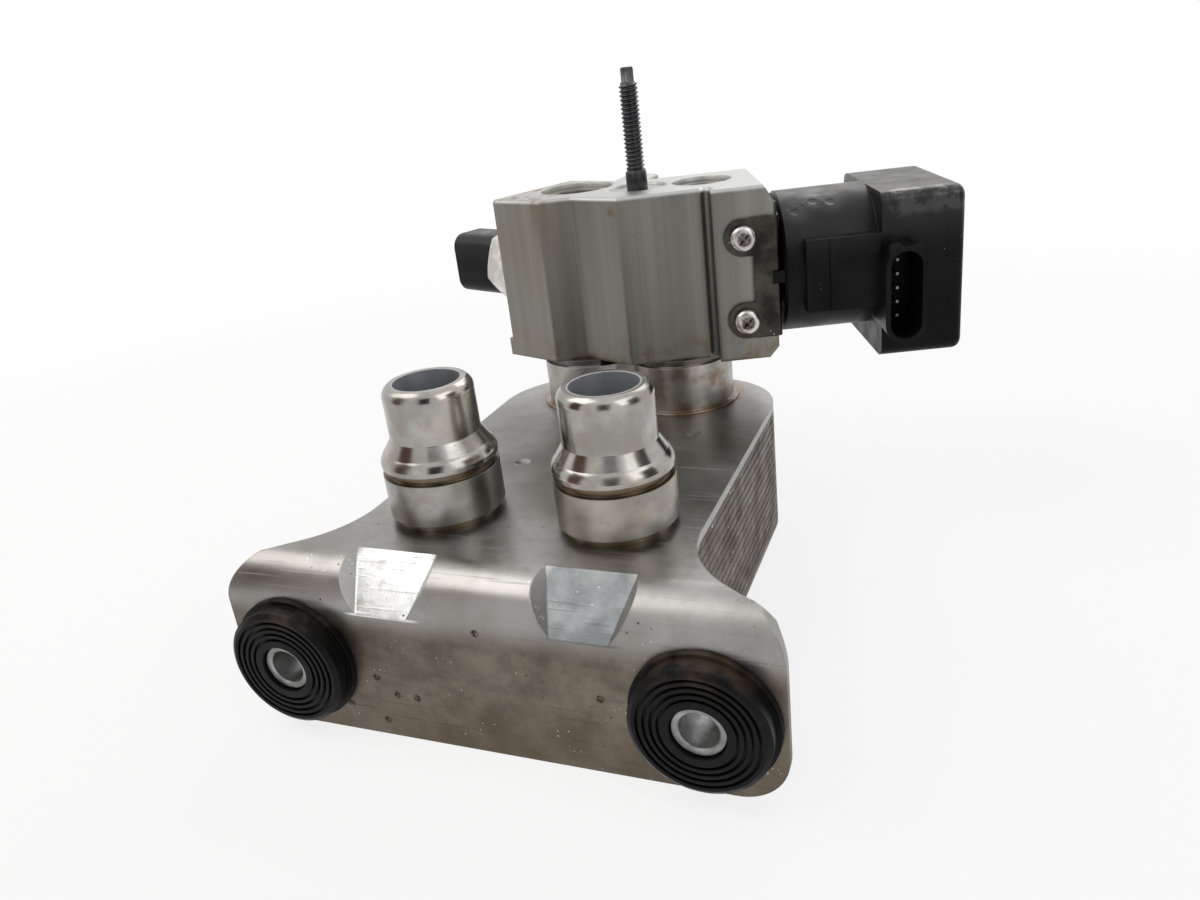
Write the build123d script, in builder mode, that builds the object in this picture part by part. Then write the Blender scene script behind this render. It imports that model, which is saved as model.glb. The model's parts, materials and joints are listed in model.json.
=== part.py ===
from build123d import *
import math
import os

# Plate chiller with an electronic expansion valve.
# Millimetres, +Z up. The origin is on the top face of the mounting plate,
# midway between the two coolant spigots; Y runs back towards the valve.

# Mounting plate: one bent aluminium sheet
SHEET = 2.5
BEND_R = 12.5
PLATE_HALF = 48.6
PLATE_REAR = 112.5
REAR_CORNER_R = 28.0
FLANGE_FACE = -38.0
FLANGE_HALF = 76.6
FLANGE_DROP = 50.5
FLANGE_CORNER_R = 13.0
FLARE_R = 30.0
FLARE_START = -2.0
DART_X = 27.5
DART_TOP_W = 24.0
DART_FOOT_W = 15.0
DART_DRAFT = 40.0
DIMPLES = ((-18.1, 32.7), (28.6, 60.7))
DIMPLE_R = 2.4
DIMPLE_DEPTH = 0.6

# Plate pack under the sheet
CORE_COUNT = 15
CORE_PITCH = 2.65
CORE_SKIN = 0.8
CORE_RIM = 1.6
CORE_EDGE = 0.45
CORE_FRONT = -22.0
CORE_FRONT_R = 20.0
FLOOR_T = 2.75
FLOOR_EDGE = 0.8
COLLAR_WALL = 1.5

# Coolant spigots
SPIGOT_X = 25.65
SPIGOT_BORE_R = 9.13
SPIGOT_FOOT_R = 14.4
SPIGOT_FOOT_H = 2.2
SPIGOT_BASE_R = 16.13
SPIGOT_BASE_TOP = 14.0
SPIGOT_GROOVE_R = 14.6
SPIGOT_LIP_Z = 16.4
SPIGOT_LIP_H = 1.3
SPIGOT_SHOULDER = 1.5
SPIGOT_SHOULDER_H = 2.7
SPIGOT_NOSE_BULGE = 0.45
SPIGOT_NOSE_RISE = 2.2
SPIGOT_NECK_Z = 23.9
SPIGOT_TUBE_R = 12.46
SPIGOT_NOSE_Z = 35.0
SPIGOT_TOP = 38.5
SPIGOT_NOSE_R = 10.7
SPIGOT_TAIL_R = 11.2

# Refrigerant neck under the valve block
NECK_X = 15.7
NECK_BACK = 19.0
NECK_R = 17.6
NECK_WEB = 12.0
NECK_WEB_R = 5.0
NECK_H = 15.9
NECK_RING_R = 16.6
NECK_FOOT_R = 19.4
NECK_FOOT_H = 0.7
SUCTION_R = 8.0
LIQUID_R = 5.5
SEAL_R = 0.95
SEAL_MARGIN = 1.2

# Rubber grommets and steel sleeves in the flange
GROMMET_EDGE = 19.3
GROMMET_LIFT = 22.0
GROMMET_R = 17.1
GROMMET_DISC_R = 18.3
GROMMET_DISC_T = 1.8
GROMMET_FRONT = 6.7
GROMMET_BEVEL = 1.2
GROMMET_BEVEL_T = 0.8
RIB_COUNT = 4
RIB_DEPTH = 1.0
RIB_MARGIN = 1.7
GROMMET_BACK = 5.5
GROMMET_WAIST_R = 11.8
GROMMET_REAR_R = 15.5
SLEEVE_R = 6.88
SLEEVE_BORE_R = 4.85
SLEEVE_SET_BACK = 1.1
SLEEVE_EDGE = 0.4

# Valve block: an extruded chevron with two swept-back arms
VALVE_X = 5.8
VALVE_LEAD = 0.4
RIGHT_SWEEP = 20.5
LEFT_SWEEP = 21.5
BLOCK_Z0 = 18.0
BLOCK_Z1 = 72.0
MID_FRONT = 19.5
RIGHT_FRONT = 25.5
RIGHT_BACK = 16.0
RIGHT_STEP = 21.3
RIGHT_END = 40.0
LEFT_FRONT = 27.3
LEFT_BACK = 11.5
LEFT_STEP_OUT = 19.6
LEFT_STEP_IN = 11.8
LEFT_END = 42.2
BLOCK_LIP_H = 6.0
BLOCK_LIP_T = 1.6
BLOCK_EDGE = 0.8
UNDERCUT_W = 2.6
UNDERCUT_DEPTH = 1.6
END_BEVEL = 3.0
END_BEVEL_TOP = 4.7
END_BEVEL_FOOT = 3.4
LUG_SIDE = -8.8
LUG_W = 12.0
LUG_LENGTH = 30.7

# Ports in the block's top face, as seen from the stud
SUCTION_PORT = (-23.8, 5.6)
SUCTION_PORT_R = 8.2
SUCTION_SPOT_R = 12.3
LIQUID_PORT = (19.7, 6.1)
LIQUID_PORT_R = 5.2
LIQUID_SPOT_R = 9.6
SPOT_DEPTH = 1.5
PORT_DEPTH = 18.0
SUCTION_WAY_R = 7.2
LIQUID_WAY_R = 4.0

# Pipe stud
STUD_R = 3.0
STUD_SHANK_R = 3.4
STUD_SHANK_H = 4.8
STUD_TOP = 108.5
STUD_DRIVE_H = 4.8
STUD_DEPTH = 15.0
STUD_SPOT_R = 9.4
STUD_SPOT_DEPTH = 0.8
DRIVE_CORE_R = 2.0
DRIVE_LOBE_R = 0.6

# Actuator on the right arm: distances run out along the arm from the stud
MOTOR_BACK = -5.0
MOTOR_Z = 44.0
MOTOR_R = 22.6
MOTOR_START = 42.4
MOTOR_NECK_R = 13.4
MOTOR_RIM = 0.9
CHANNEL_START = 48.6
CHANNEL_STEP = 55.7
CHANNEL_FRONT = -29.2
CHANNEL_RISE = 0.5
CHANNEL_H = 22.4
CHANNEL_Z = 43.4
HEAD_START = 71.3
HEAD_END = 96.4
HEAD_FRONT = -29.5
HEAD_REAR = 21.0
HEAD_Z0 = 15.3
HEAD_Z1 = 66.4
HEAD_WALL = 2.0
HEAD_EDGE_R = 4.0
COVER_T = 5.4
COVER_EDGE_R = 2.6
SOCKET_FRONT = -35.6
SOCKET_W = 12.4
SOCKET_Z = 36.2
SOCKET_H = 30.0
SOCKET_WALL = 1.5
SOCKET_DEPTH = 16.0
SOCKET_PROUD = 0.3
SOCKET_KEY_R = 2.3
SOCKET_ROUND = 6.1
SOCKET_PIN_COUNT = 5
SOCKET_PIN_PITCH = 4.4
SOCKET_PIN_REACH = 5.6
PIN = 0.8
BOARD_T = 1.6
BOARD_GAP = 0.3
CHIP_T = 1.4
CHIPS = ((6.0, -8.0, 9.0, 9.0), (-10.0, -12.0, 9.0, 9.0), (12.0, 12.0, 4.0, 7.0), (-14.0, 10.0, 4.0, 7.0))
PIN_ELBOW = 3.0

# Valve mechanism along the actuator's axis
RUN_FIT = 0.05
SEAT_START = 12.0
SEAT_END = 16.0
SEAT_R = 6.0
ORIFICE_R = 1.7
SEAT_CONE = 1.0
SEAT_FLARE = 0.5
OUTLET_R = 3.5
OUTLET_START = 4.0
CARTRIDGE_R = 9.0
CARTRIDGE_FLANGE_R = 17.0
CARTRIDGE_FLANGE_T = 3.0
CARTRIDGE_SEALS = (29.0, 34.0)
GUIDE_MOUTH = 5.0
GUIDE_MOUTH_R = 3.5
GUIDE_SPIGOT = 2.5
GUIDE_WAIST_R = 6.0
GUIDE_WAIST_START = 1.6
GUIDE_WAIST_END = 10.5
GUIDE_WINDOW_R = 1.5
NEEDLE_R = 3.0
NEEDLE_ROD_R = 2.1
NEEDLE_POINT_R = 0.5
NEEDLE_SHOULDER = 22.0
NEEDLE_END = 34.0
SCREW_R = 1.5
SCREW_TIP = 28.0
STROKE = 3.2
HOLE_ROOM = 0.8
CAN_R = 10.3
CAN_WALL = 0.6
CAN_END = 70.2
ROTOR_R = 9.1
ROTOR_HUB_R = 3.0
HUB_FIT = 0.02
HUB_REACH = 1.5
SHAFT_PLAY = 0.3
ROTOR_START = 46.0
ROTOR_END = 64.5
BUSH_T = 2.0
COIL_IN_R = 11.6
COIL_OUT_R = 17.0
COIL_LEN = 10.4
YOKE_R = 18.6
YOKE_T = 1.2
YOKE_START = 43.6
YOKE_GAP = 0.2

# Clamp plate and its screws
CLAMP_T = 1.2
CLAMP_Z0 = 25.2
CLAMP_Z1 = 62.9
CLAMP_WEB = 33.0
FORK_GAP = 0.5
SCREW_GAP = 0.3
EAR_R = 5.7
SCREW_A = 30.0
SCREW_PITCH = 26.0
SCREW_SHANK_R = 2.0
SCREW_HEAD_R = 4.0
SCREW_HEAD_H = 2.6
SCREW_HEAD_EDGE = 1.6
SCREW_LENGTH = 9.0
CROSS_W = 4.4
CROSS_T = 0.9
CROSS_DEPTH = 1.6
CLAMP_REACH = 12.0
CLAMP_BEND_R = 1.8
CLAMP_TAB = 3.0
CLAMP_TAB_FRONT = -21.0
NOTCH_H = 4.0
NOTCH_DEPTH = 2.8
TAB_GAP = 0.25

# Pressure and temperature sensor on the left arm
SENSOR_BACK = -9.0
SENSOR_Z = 46.0
SENSOR_R = 13.8
SENSOR_THREAD_R = 7.0
SENSOR_TIP = 33.0
PROBE_R = 1.9
PROBE_LENGTH = 8.0
SENSOR_COLLAR_END = 55.8
SENSOR_HEX_TURN = 20.0
SENSOR_HEX_EDGE = 1.8
SENSOR_CUP_R = 10.0
SENSOR_BASE_T = 3.0
CELL_T = 3.0
SENSOR_PLUG_R = 5.0
SENSOR_PIN_REACH = 6.0
SENSOR_PLUG_END = 77.2
SENSOR_PLUG_W = 18.0
SENSOR_PLUG_H = 21.4
SENSOR_PLUG_WALL = 1.6
SENSOR_PLUG_DEPTH = 12.0
SENSOR_PIN_COUNT = 4
SENSOR_PIN_PITCH = 3.6

GROMMET_X = FLANGE_HALF - GROMMET_EDGE
GROMMET_Z = GROMMET_LIFT - FLANGE_DROP
NECK_Y = PLATE_REAR - NECK_BACK
VALVE_Y = NECK_Y + VALVE_LEAD
CORE_TOP = -SHEET
CORE_BOTTOM = CORE_TOP - CORE_COUNT * CORE_PITCH
HEAD_MID = (HEAD_FRONT + HEAD_REAR) / 2
HEAD_MID_Z = (HEAD_Z0 + HEAD_Z1) / 2
HEAD_ROOM_W = HEAD_REAR - HEAD_FRONT - 2 * HEAD_WALL
HEAD_ROOM_H = HEAD_Z1 - HEAD_Z0 - 2 * HEAD_WALL
HEAD_ROOM_R = HEAD_EDGE_R - HEAD_WALL / 2
COVER_START = HEAD_END - COVER_T
SOCKET_A = HEAD_START - SOCKET_PROUD + SOCKET_W / 2
SOCKET_END = SOCKET_A + SOCKET_W / 2
BOARD_START = (SOCKET_END + COVER_START) / 2 - BOARD_T / 2
BODY_HEIGHT = BLOCK_Z1 - BLOCK_Z0

os.makedirs("parts", exist_ok=True)


def save(builder, name):
    """Label a finished piece and write its STEP file."""
    builder.part.label = name
    export_step(builder.part, f"parts/{name}.step")


def arm_direction(sweep, side):
    """Unit vector that points out along an arm; side is 1 right, -1 left."""
    angle = math.radians(sweep)
    return Vector(side * math.cos(angle), math.sin(angle), 0)


RIGHT_OUT = arm_direction(RIGHT_SWEEP, 1)
LEFT_OUT = arm_direction(LEFT_SWEEP, -1)
UP = Vector(0, 0, 1)
RIGHT_REAR = UP.cross(RIGHT_OUT)
LEFT_REAR = LEFT_OUT.cross(UP)
VALVE = Vector(VALVE_X, VALVE_Y, 0)


def right_at(out, rear, z=0.0):
    """Point at a distance out along the right arm and back across it."""
    return VALVE + RIGHT_OUT * out + RIGHT_REAR * rear + UP * z


def left_at(out, rear, z=0.0):
    """Point at a distance out along the left arm and back across it."""
    return VALVE + LEFT_OUT * out + LEFT_REAR * rear + UP * z


def flat(point):
    return (point.X, point.Y)


def across_right(out, rear=MOTOR_BACK, z=MOTOR_Z):
    """Plane square to the right arm: X up, Y to the front, Z outwards."""
    return Plane(origin=right_at(out, rear, z), x_dir=UP, z_dir=RIGHT_OUT)


def across_left(out, rear=SENSOR_BACK, z=SENSOR_Z):
    """Plane square to the left arm: X up, Y to the rear, Z outwards."""
    return Plane(origin=left_at(out, rear, z), x_dir=UP, z_dir=LEFT_OUT)


# Planes through the two axes: X runs out along the arm and Y is up
MOTOR_SECTION = Plane(origin=right_at(0, MOTOR_BACK, MOTOR_Z), x_dir=RIGHT_OUT, z_dir=RIGHT_REAR * -1)
MOTOR_AXIS = Axis(right_at(0, MOTOR_BACK, MOTOR_Z), RIGHT_OUT)
SENSOR_SECTION = Plane(origin=left_at(0, SENSOR_BACK, SENSOR_Z), x_dir=LEFT_OUT, z_dir=LEFT_REAR)
SENSOR_AXIS = Axis(left_at(0, SENSOR_BACK, SENSOR_Z), LEFT_OUT)
# Planes that look at the arms from the front: X runs along the arm to the right and Y is up
RIGHT_FRONT_FACE = Plane(origin=right_at(0, -RIGHT_FRONT), x_dir=RIGHT_OUT, z_dir=RIGHT_REAR * -1)


def turned(section, axis, points):
    """Revolve a closed outline of (along, radius) points about an arm's axis."""
    with BuildSketch(section) as outline:
        with BuildLine():
            Polyline(*points, close=True)
        make_face()
    revolve(outline.sketch, axis=axis)


def ring_points(start, end, inner, outer):
    return [(start, inner), (end, inner), (end, outer), (start, outer)]


def seal_ring(section, axis, along, radius):
    """Round-section seal ring about an arm's axis."""
    with BuildSketch(section) as outline:
        with Locations((along, radius)):
            Circle(SEAL_R)
    revolve(outline.sketch, axis=axis)


# Mounting plate
with BuildPart() as mounting_plate:
    inner_bend = BEND_R - SHEET
    bend_y = FLANGE_FACE + BEND_R
    with BuildSketch(Plane.YZ) as profile:
        with BuildLine():
            Line((PLATE_REAR, 0), (bend_y, 0))
            RadiusArc((bend_y, 0), (FLANGE_FACE, -BEND_R), -BEND_R)
            Line((FLANGE_FACE, -BEND_R), (FLANGE_FACE, -FLANGE_DROP))
            Line((FLANGE_FACE, -FLANGE_DROP), (FLANGE_FACE + SHEET, -FLANGE_DROP))
            Line((FLANGE_FACE + SHEET, -FLANGE_DROP), (FLANGE_FACE + SHEET, -BEND_R))
            RadiusArc((FLANGE_FACE + SHEET, -BEND_R), (bend_y, -SHEET), inner_bend)
            Line((bend_y, -SHEET), (PLATE_REAR, -SHEET))
            Line((PLATE_REAR, -SHEET), (PLATE_REAR, 0))
        make_face()
    extrude(amount=FLANGE_HALF, both=True)

    # A dart pressed in at 45 degrees stiffens the bend at each spigot
    dart_chord = BEND_R * math.sqrt(2)
    dart_back = SHEET * math.sqrt(2)
    with BuildSketch(Plane.YZ, mode=Mode.PRIVATE) as dart_profile:
        with BuildLine():
            Line((bend_y + dart_back, 0), (bend_y, 0))
            RadiusArc((bend_y, 0), (FLANGE_FACE, -BEND_R), -BEND_R)
            Line((FLANGE_FACE, -BEND_R), (FLANGE_FACE, -BEND_R - dart_back))
            Line((FLANGE_FACE, -BEND_R - dart_back), (bend_y + dart_back, 0))
        make_face()
    for x in (-DART_X, DART_X):
        half = DART_TOP_W / 2 + 2 * SHEET
        extrude(dart_profile.sketch.moved(Location((x - half, 0, 0))), amount=2 * half)
    for x in (-DART_X, DART_X):
        facet = Plane(
            origin=(x, (bend_y + FLANGE_FACE) / 2, -BEND_R / 2),
            x_dir=(1, 0, 0),
            z_dir=(0, -1, 1),
        )
        with BuildSketch(facet):
            with BuildLine():
                Polyline(
                    (-DART_TOP_W / 2, dart_chord / 2),
                    (DART_TOP_W / 2, dart_chord / 2),
                    (DART_FOOT_W / 2, -dart_chord / 2),
                    (-DART_FOOT_W / 2, -dart_chord / 2),
                    close=True,
                )
            make_face()
        extrude(amount=BEND_R / 2, taper=-DART_DRAFT, mode=Mode.SUBTRACT)

    # Plan outline: round rear corners and a flare out to the flange
    flare_end = FLANGE_HALF - PLATE_HALF
    flare_y = FLARE_START - math.sqrt(FLARE_R**2 - (FLARE_R - flare_end) ** 2)
    rear_c = PLATE_REAR - REAR_CORNER_R
    side_c = PLATE_HALF - REAR_CORNER_R
    with BuildSketch(Plane.XY.offset(1)):
        with BuildLine():
            Line((0, PLATE_REAR), (side_c, PLATE_REAR))
            RadiusArc((side_c, PLATE_REAR), (PLATE_HALF, rear_c), REAR_CORNER_R)
            Line((PLATE_HALF, rear_c), (PLATE_HALF, FLARE_START))
            RadiusArc((PLATE_HALF, FLARE_START), (FLANGE_HALF, flare_y), -FLARE_R)
            Line((FLANGE_HALF, flare_y), (FLANGE_HALF, FLANGE_FACE - 1))
            Line((FLANGE_HALF, FLANGE_FACE - 1), (0, FLANGE_FACE - 1))
            mirror(about=Plane.YZ)
        make_face()
    extrude(amount=-FLANGE_DROP - 2, mode=Mode.INTERSECT)

    # Front outline: round corners on the flange
    with BuildSketch(Plane.XZ.offset(-PLATE_REAR)):
        with Locations((0, -FLANGE_DROP / 2)):
            RectangleRounded(2 * FLANGE_HALF, FLANGE_DROP, FLANGE_CORNER_R)
    extrude(amount=PLATE_REAR - FLANGE_FACE + 1, mode=Mode.INTERSECT)

    with Locations((SPIGOT_X, 0, 0), (-SPIGOT_X, 0, 0)):
        Hole(SPIGOT_TAIL_R + RUN_FIT, 2 * SHEET)
    with Locations((-NECK_X, NECK_Y, 0)):
        Hole(SUCTION_R, 2 * SHEET)
    with Locations((NECK_X, NECK_Y, 0)):
        Hole(LIQUID_R, 2 * SHEET)
    with BuildSketch(Plane.XZ.offset(-FLANGE_FACE)):
        with Locations((GROMMET_X, GROMMET_Z), (-GROMMET_X, GROMMET_Z)):
            Circle(GROMMET_WAIST_R + RUN_FIT)
    extrude(amount=-2 * SHEET, mode=Mode.SUBTRACT)

    # Two stamped marks sunk into the top face
    dimple_ball = (DIMPLE_R**2 + DIMPLE_DEPTH**2) / (2 * DIMPLE_DEPTH)
    for x, y in DIMPLES:
        with Locations((x, y, dimple_ball - DIMPLE_DEPTH)):
            Sphere(dimple_ball, mode=Mode.SUBTRACT)
save(mounting_plate, "mounting_plate")


def pack_outline(inset):
    """Plan outline of the plate pack, pulled in by a constant margin."""
    half = PLATE_HALF - inset
    rear = PLATE_REAR - inset
    front = CORE_FRONT + inset
    rear_r = REAR_CORNER_R - inset
    front_r = CORE_FRONT_R - inset
    with BuildLine() as outline:
        Line((0, rear), (half - rear_r, rear))
        RadiusArc((half - rear_r, rear), (half, rear - rear_r), rear_r)
        Line((half, rear - rear_r), (half, front + front_r))
        RadiusArc((half, front + front_r), (half - front_r, front), front_r)
        Line((half - front_r, front), (0, front))
        mirror(about=Plane.YZ)
    make_face(outline.edges())


COOLANT_PORTS = [(-SPIGOT_X, 0, SPIGOT_BORE_R), (SPIGOT_X, 0, SPIGOT_BORE_R)]
REFRIGERANT_PORTS = [(-NECK_X, NECK_Y, SUCTION_R), (NECK_X, NECK_Y, LIQUID_R)]

# Plate pack: shallow pans, open downwards, brazed rim to skin.
# Every second pan carries coolant, and the ports that it must not join have collars.
for number in range(CORE_COUNT):
    top = CORE_TOP - number * CORE_PITCH
    closed_ports = REFRIGERANT_PORTS if number % 2 == 0 else COOLANT_PORTS
    with BuildPart() as core_plate:
        with BuildSketch(Plane.XY.offset(top)):
            pack_outline(0)
        extrude(amount=-CORE_PITCH)
        chamfer(core_plate.faces().sort_by(Axis.Z)[0].edges(), CORE_EDGE)
        with BuildSketch(Plane.XY.offset(top - CORE_SKIN)):
            pack_outline(CORE_EDGE + CORE_RIM)
            for x, y, r in closed_ports:
                with Locations((x, y)):
                    Circle(r + COLLAR_WALL, mode=Mode.SUBTRACT)
        extrude(amount=-CORE_PITCH, mode=Mode.SUBTRACT)
        for x, y, r in COOLANT_PORTS + REFRIGERANT_PORTS:
            with Locations((x, y, top)):
                Hole(r, 2 * CORE_PITCH)
    save(core_plate, f"core_plate_{number + 1:02d}")

with BuildPart() as core_floor:
    with BuildSketch(Plane.XY.offset(CORE_BOTTOM)):
        pack_outline(0)
    extrude(amount=-FLOOR_T)
    chamfer(core_floor.faces().sort_by(Axis.Z)[0].edges(), FLOOR_EDGE)
save(core_floor, "core_floor")

# Coolant spigots: turned, brazed into the plate
shoulder_start = SPIGOT_LIP_Z + SPIGOT_LIP_H
shoulder_end = shoulder_start + SPIGOT_SHOULDER_H
for side, x in (("left", -SPIGOT_X), ("right", SPIGOT_X)):
    with BuildPart() as spigot:
        with BuildSketch(Plane.XZ):
            with BuildLine():
                Polyline(
                    (SPIGOT_BORE_R, SPIGOT_TOP),
                    (SPIGOT_BORE_R, -SHEET),
                    (SPIGOT_TAIL_R, -SHEET),
                    (SPIGOT_TAIL_R, 0),
                    (SPIGOT_FOOT_R, 0),
                    (SPIGOT_FOOT_R, SPIGOT_FOOT_H),
                    (SPIGOT_BASE_R, SPIGOT_FOOT_H),
                    (SPIGOT_BASE_R, SPIGOT_BASE_TOP),
                    (SPIGOT_GROOVE_R, SPIGOT_BASE_TOP),
                    (SPIGOT_GROOVE_R, SPIGOT_LIP_Z),
                    (SPIGOT_BASE_R, SPIGOT_LIP_Z),
                    (SPIGOT_BASE_R, shoulder_start),
                )
                ThreePointArc(
                    (SPIGOT_BASE_R, shoulder_start),
                    (SPIGOT_BASE_R - SPIGOT_SHOULDER / 3, (shoulder_start + shoulder_end) / 2),
                    (SPIGOT_BASE_R - SPIGOT_SHOULDER, shoulder_end),
                )
                Line((SPIGOT_BASE_R - SPIGOT_SHOULDER, shoulder_end), (SPIGOT_TUBE_R, SPIGOT_NECK_Z))
                Line((SPIGOT_TUBE_R, SPIGOT_NECK_Z), (SPIGOT_TUBE_R, SPIGOT_NOSE_Z))
                ThreePointArc(
                    (SPIGOT_TUBE_R, SPIGOT_NOSE_Z),
                    (SPIGOT_TUBE_R - SPIGOT_NOSE_BULGE, SPIGOT_NOSE_Z + SPIGOT_NOSE_RISE),
                    (SPIGOT_NOSE_R, SPIGOT_TOP),
                )
                Line((SPIGOT_NOSE_R, SPIGOT_TOP), (SPIGOT_BORE_R, SPIGOT_TOP))
            make_face()
        revolve(axis=Axis.Z)
    spigot.part = spigot.part.moved(Location((x, 0, 0)))
    save(spigot, f"coolant_spigot_{side}")

# Refrigerant neck: two bosses joined by a waisted web
with BuildPart() as refrigerant_neck:
    with BuildSketch() as neck_plan:
        with Locations((-NECK_X, NECK_Y), (NECK_X, NECK_Y)):
            Circle(NECK_R)
        with Locations((0, NECK_Y)):
            Rectangle(NECK_X, 2 * NECK_WEB)
        fillet(neck_plan.vertices(), NECK_WEB_R)
    extrude(amount=NECK_H)
    # Flat foot that is brazed to the sheet
    with BuildSketch():
        with Locations((-NECK_X, NECK_Y), (NECK_X, NECK_Y)):
            Circle(NECK_FOOT_R)
    extrude(amount=NECK_FOOT_H)
    with BuildSketch(Plane.XY.offset(NECK_H)):
        with Locations((-NECK_X, NECK_Y), (NECK_X, NECK_Y)):
            Circle(NECK_RING_R)
        with Locations((0, NECK_Y)):
            Rectangle(NECK_X, 2 * NECK_R, mode=Mode.SUBTRACT)
    extrude(amount=BLOCK_Z0 - NECK_H)
    for x, bore in ((-NECK_X, SUCTION_R), (NECK_X, LIQUID_R)):
        with Locations((x, NECK_Y, BLOCK_Z0)):
            Hole(bore, 2 * BLOCK_Z0)
        groove_mid = bore + SEAL_MARGIN + SEAL_R
        with BuildSketch(Plane.XY.offset(BLOCK_Z0)):
            with Locations((x, NECK_Y)):
                Circle(groove_mid + SEAL_R + RUN_FIT)
                Circle(groove_mid - SEAL_R - RUN_FIT, mode=Mode.SUBTRACT)
        extrude(amount=-2 * SEAL_R, mode=Mode.SUBTRACT)
save(refrigerant_neck, "refrigerant_neck")

for name, x, bore in (("suction_seal", -NECK_X, SUCTION_R), ("liquid_seal", NECK_X, LIQUID_R)):
    with BuildPart() as port_seal:
        with BuildSketch(Plane.XZ):
            with Locations((bore + SEAL_MARGIN + SEAL_R, BLOCK_Z0 - SEAL_R)):
                Circle(SEAL_R)
        revolve(axis=Axis.Z)
    port_seal.part = port_seal.part.moved(Location((x, NECK_Y, 0)))
    save(port_seal, name)

# Rubber grommets with ribbed faces, and the steel sleeves in them
grommet_section = Plane.XY.offset(GROMMET_Z)
for side, x in (("left", -GROMMET_X), ("right", GROMMET_X)):
    sleeve_y0 = FLANGE_FACE - GROMMET_FRONT + SLEEVE_SET_BACK
    sleeve_y1 = FLANGE_FACE + SHEET + GROMMET_BACK
    grommet_axis = Axis((x, 0, GROMMET_Z), (0, 1, 0))
    with BuildPart() as grommet:
        face_y = FLANGE_FACE - GROMMET_FRONT
        with BuildSketch(grommet_section):
            with BuildLine():
                Polyline(
                    (x + SLEEVE_R + RUN_FIT, face_y),
                    (x + GROMMET_R - GROMMET_BEVEL, face_y),
                    (x + GROMMET_R, face_y + GROMMET_BEVEL_T),
                    (x + GROMMET_R, FLANGE_FACE - GROMMET_DISC_T),
                    (x + GROMMET_DISC_R, FLANGE_FACE - GROMMET_DISC_T),
                    (x + GROMMET_DISC_R, FLANGE_FACE),
                    (x + GROMMET_WAIST_R, FLANGE_FACE),
                    (x + GROMMET_WAIST_R, FLANGE_FACE + SHEET),
                    (x + GROMMET_REAR_R, FLANGE_FACE + SHEET),
                    (x + GROMMET_REAR_R, sleeve_y1),
                    (x + SLEEVE_R + RUN_FIT, sleeve_y1),
                    close=True,
                )
            make_face()
        revolve(axis=grommet_axis)
        rib_start = SLEEVE_R + RIB_MARGIN
        rib_step = (GROMMET_R - RIB_MARGIN - rib_start) / RIB_COUNT
        with BuildSketch(Plane.XZ.offset(-face_y)):
            for rib in reversed(range(RIB_COUNT)):
                groove = rib_start + rib_step * (rib + 0.5)
                with Locations((x, GROMMET_Z)):
                    Circle(groove + rib_step / 4)
                    Circle(groove - rib_step / 4, mode=Mode.SUBTRACT)
        extrude(amount=-RIB_DEPTH, mode=Mode.SUBTRACT)
    save(grommet, f"grommet_{side}")

    with BuildPart() as sleeve:
        with BuildSketch(Plane.XZ.offset(-sleeve_y0)):
            with Locations((x, GROMMET_Z)):
                Circle(SLEEVE_R)
                Circle(SLEEVE_BORE_R, mode=Mode.SUBTRACT)
        extrude(amount=-(sleeve_y1 - sleeve_y0))
        chamfer(sleeve.edges().filter_by(GeomType.CIRCLE), SLEEVE_EDGE)
    save(sleeve, f"sleeve_{side}")


def crossing(front_right, front_left):
    """Where two lines meet that run along the arms at these distances."""
    right = math.radians(RIGHT_SWEEP)
    left = math.radians(LEFT_SWEEP)
    bottom = math.sin(right) * math.cos(left) + math.cos(right) * math.sin(left)
    dx = (math.cos(right) * front_left - math.cos(left) * front_right) / bottom
    dy = (front_right + math.sin(right) * dx) / math.cos(right)
    return (VALVE_X + dx, VALVE_Y + dy)


def bore_right(start, end, radius):
    """Bore on the actuator's axis between two distances along the arm."""
    with BuildSketch(across_right(start)) as bore:
        Circle(radius)
    extrude(bore.sketch, amount=end - start, mode=Mode.SUBTRACT)


def bore_left(start, end, radius):
    """Bore on the sensor's axis between two distances along the arm."""
    with BuildSketch(across_left(start)) as bore:
        Circle(radius)
    extrude(bore.sketch, amount=end - start, mode=Mode.SUBTRACT)


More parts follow.
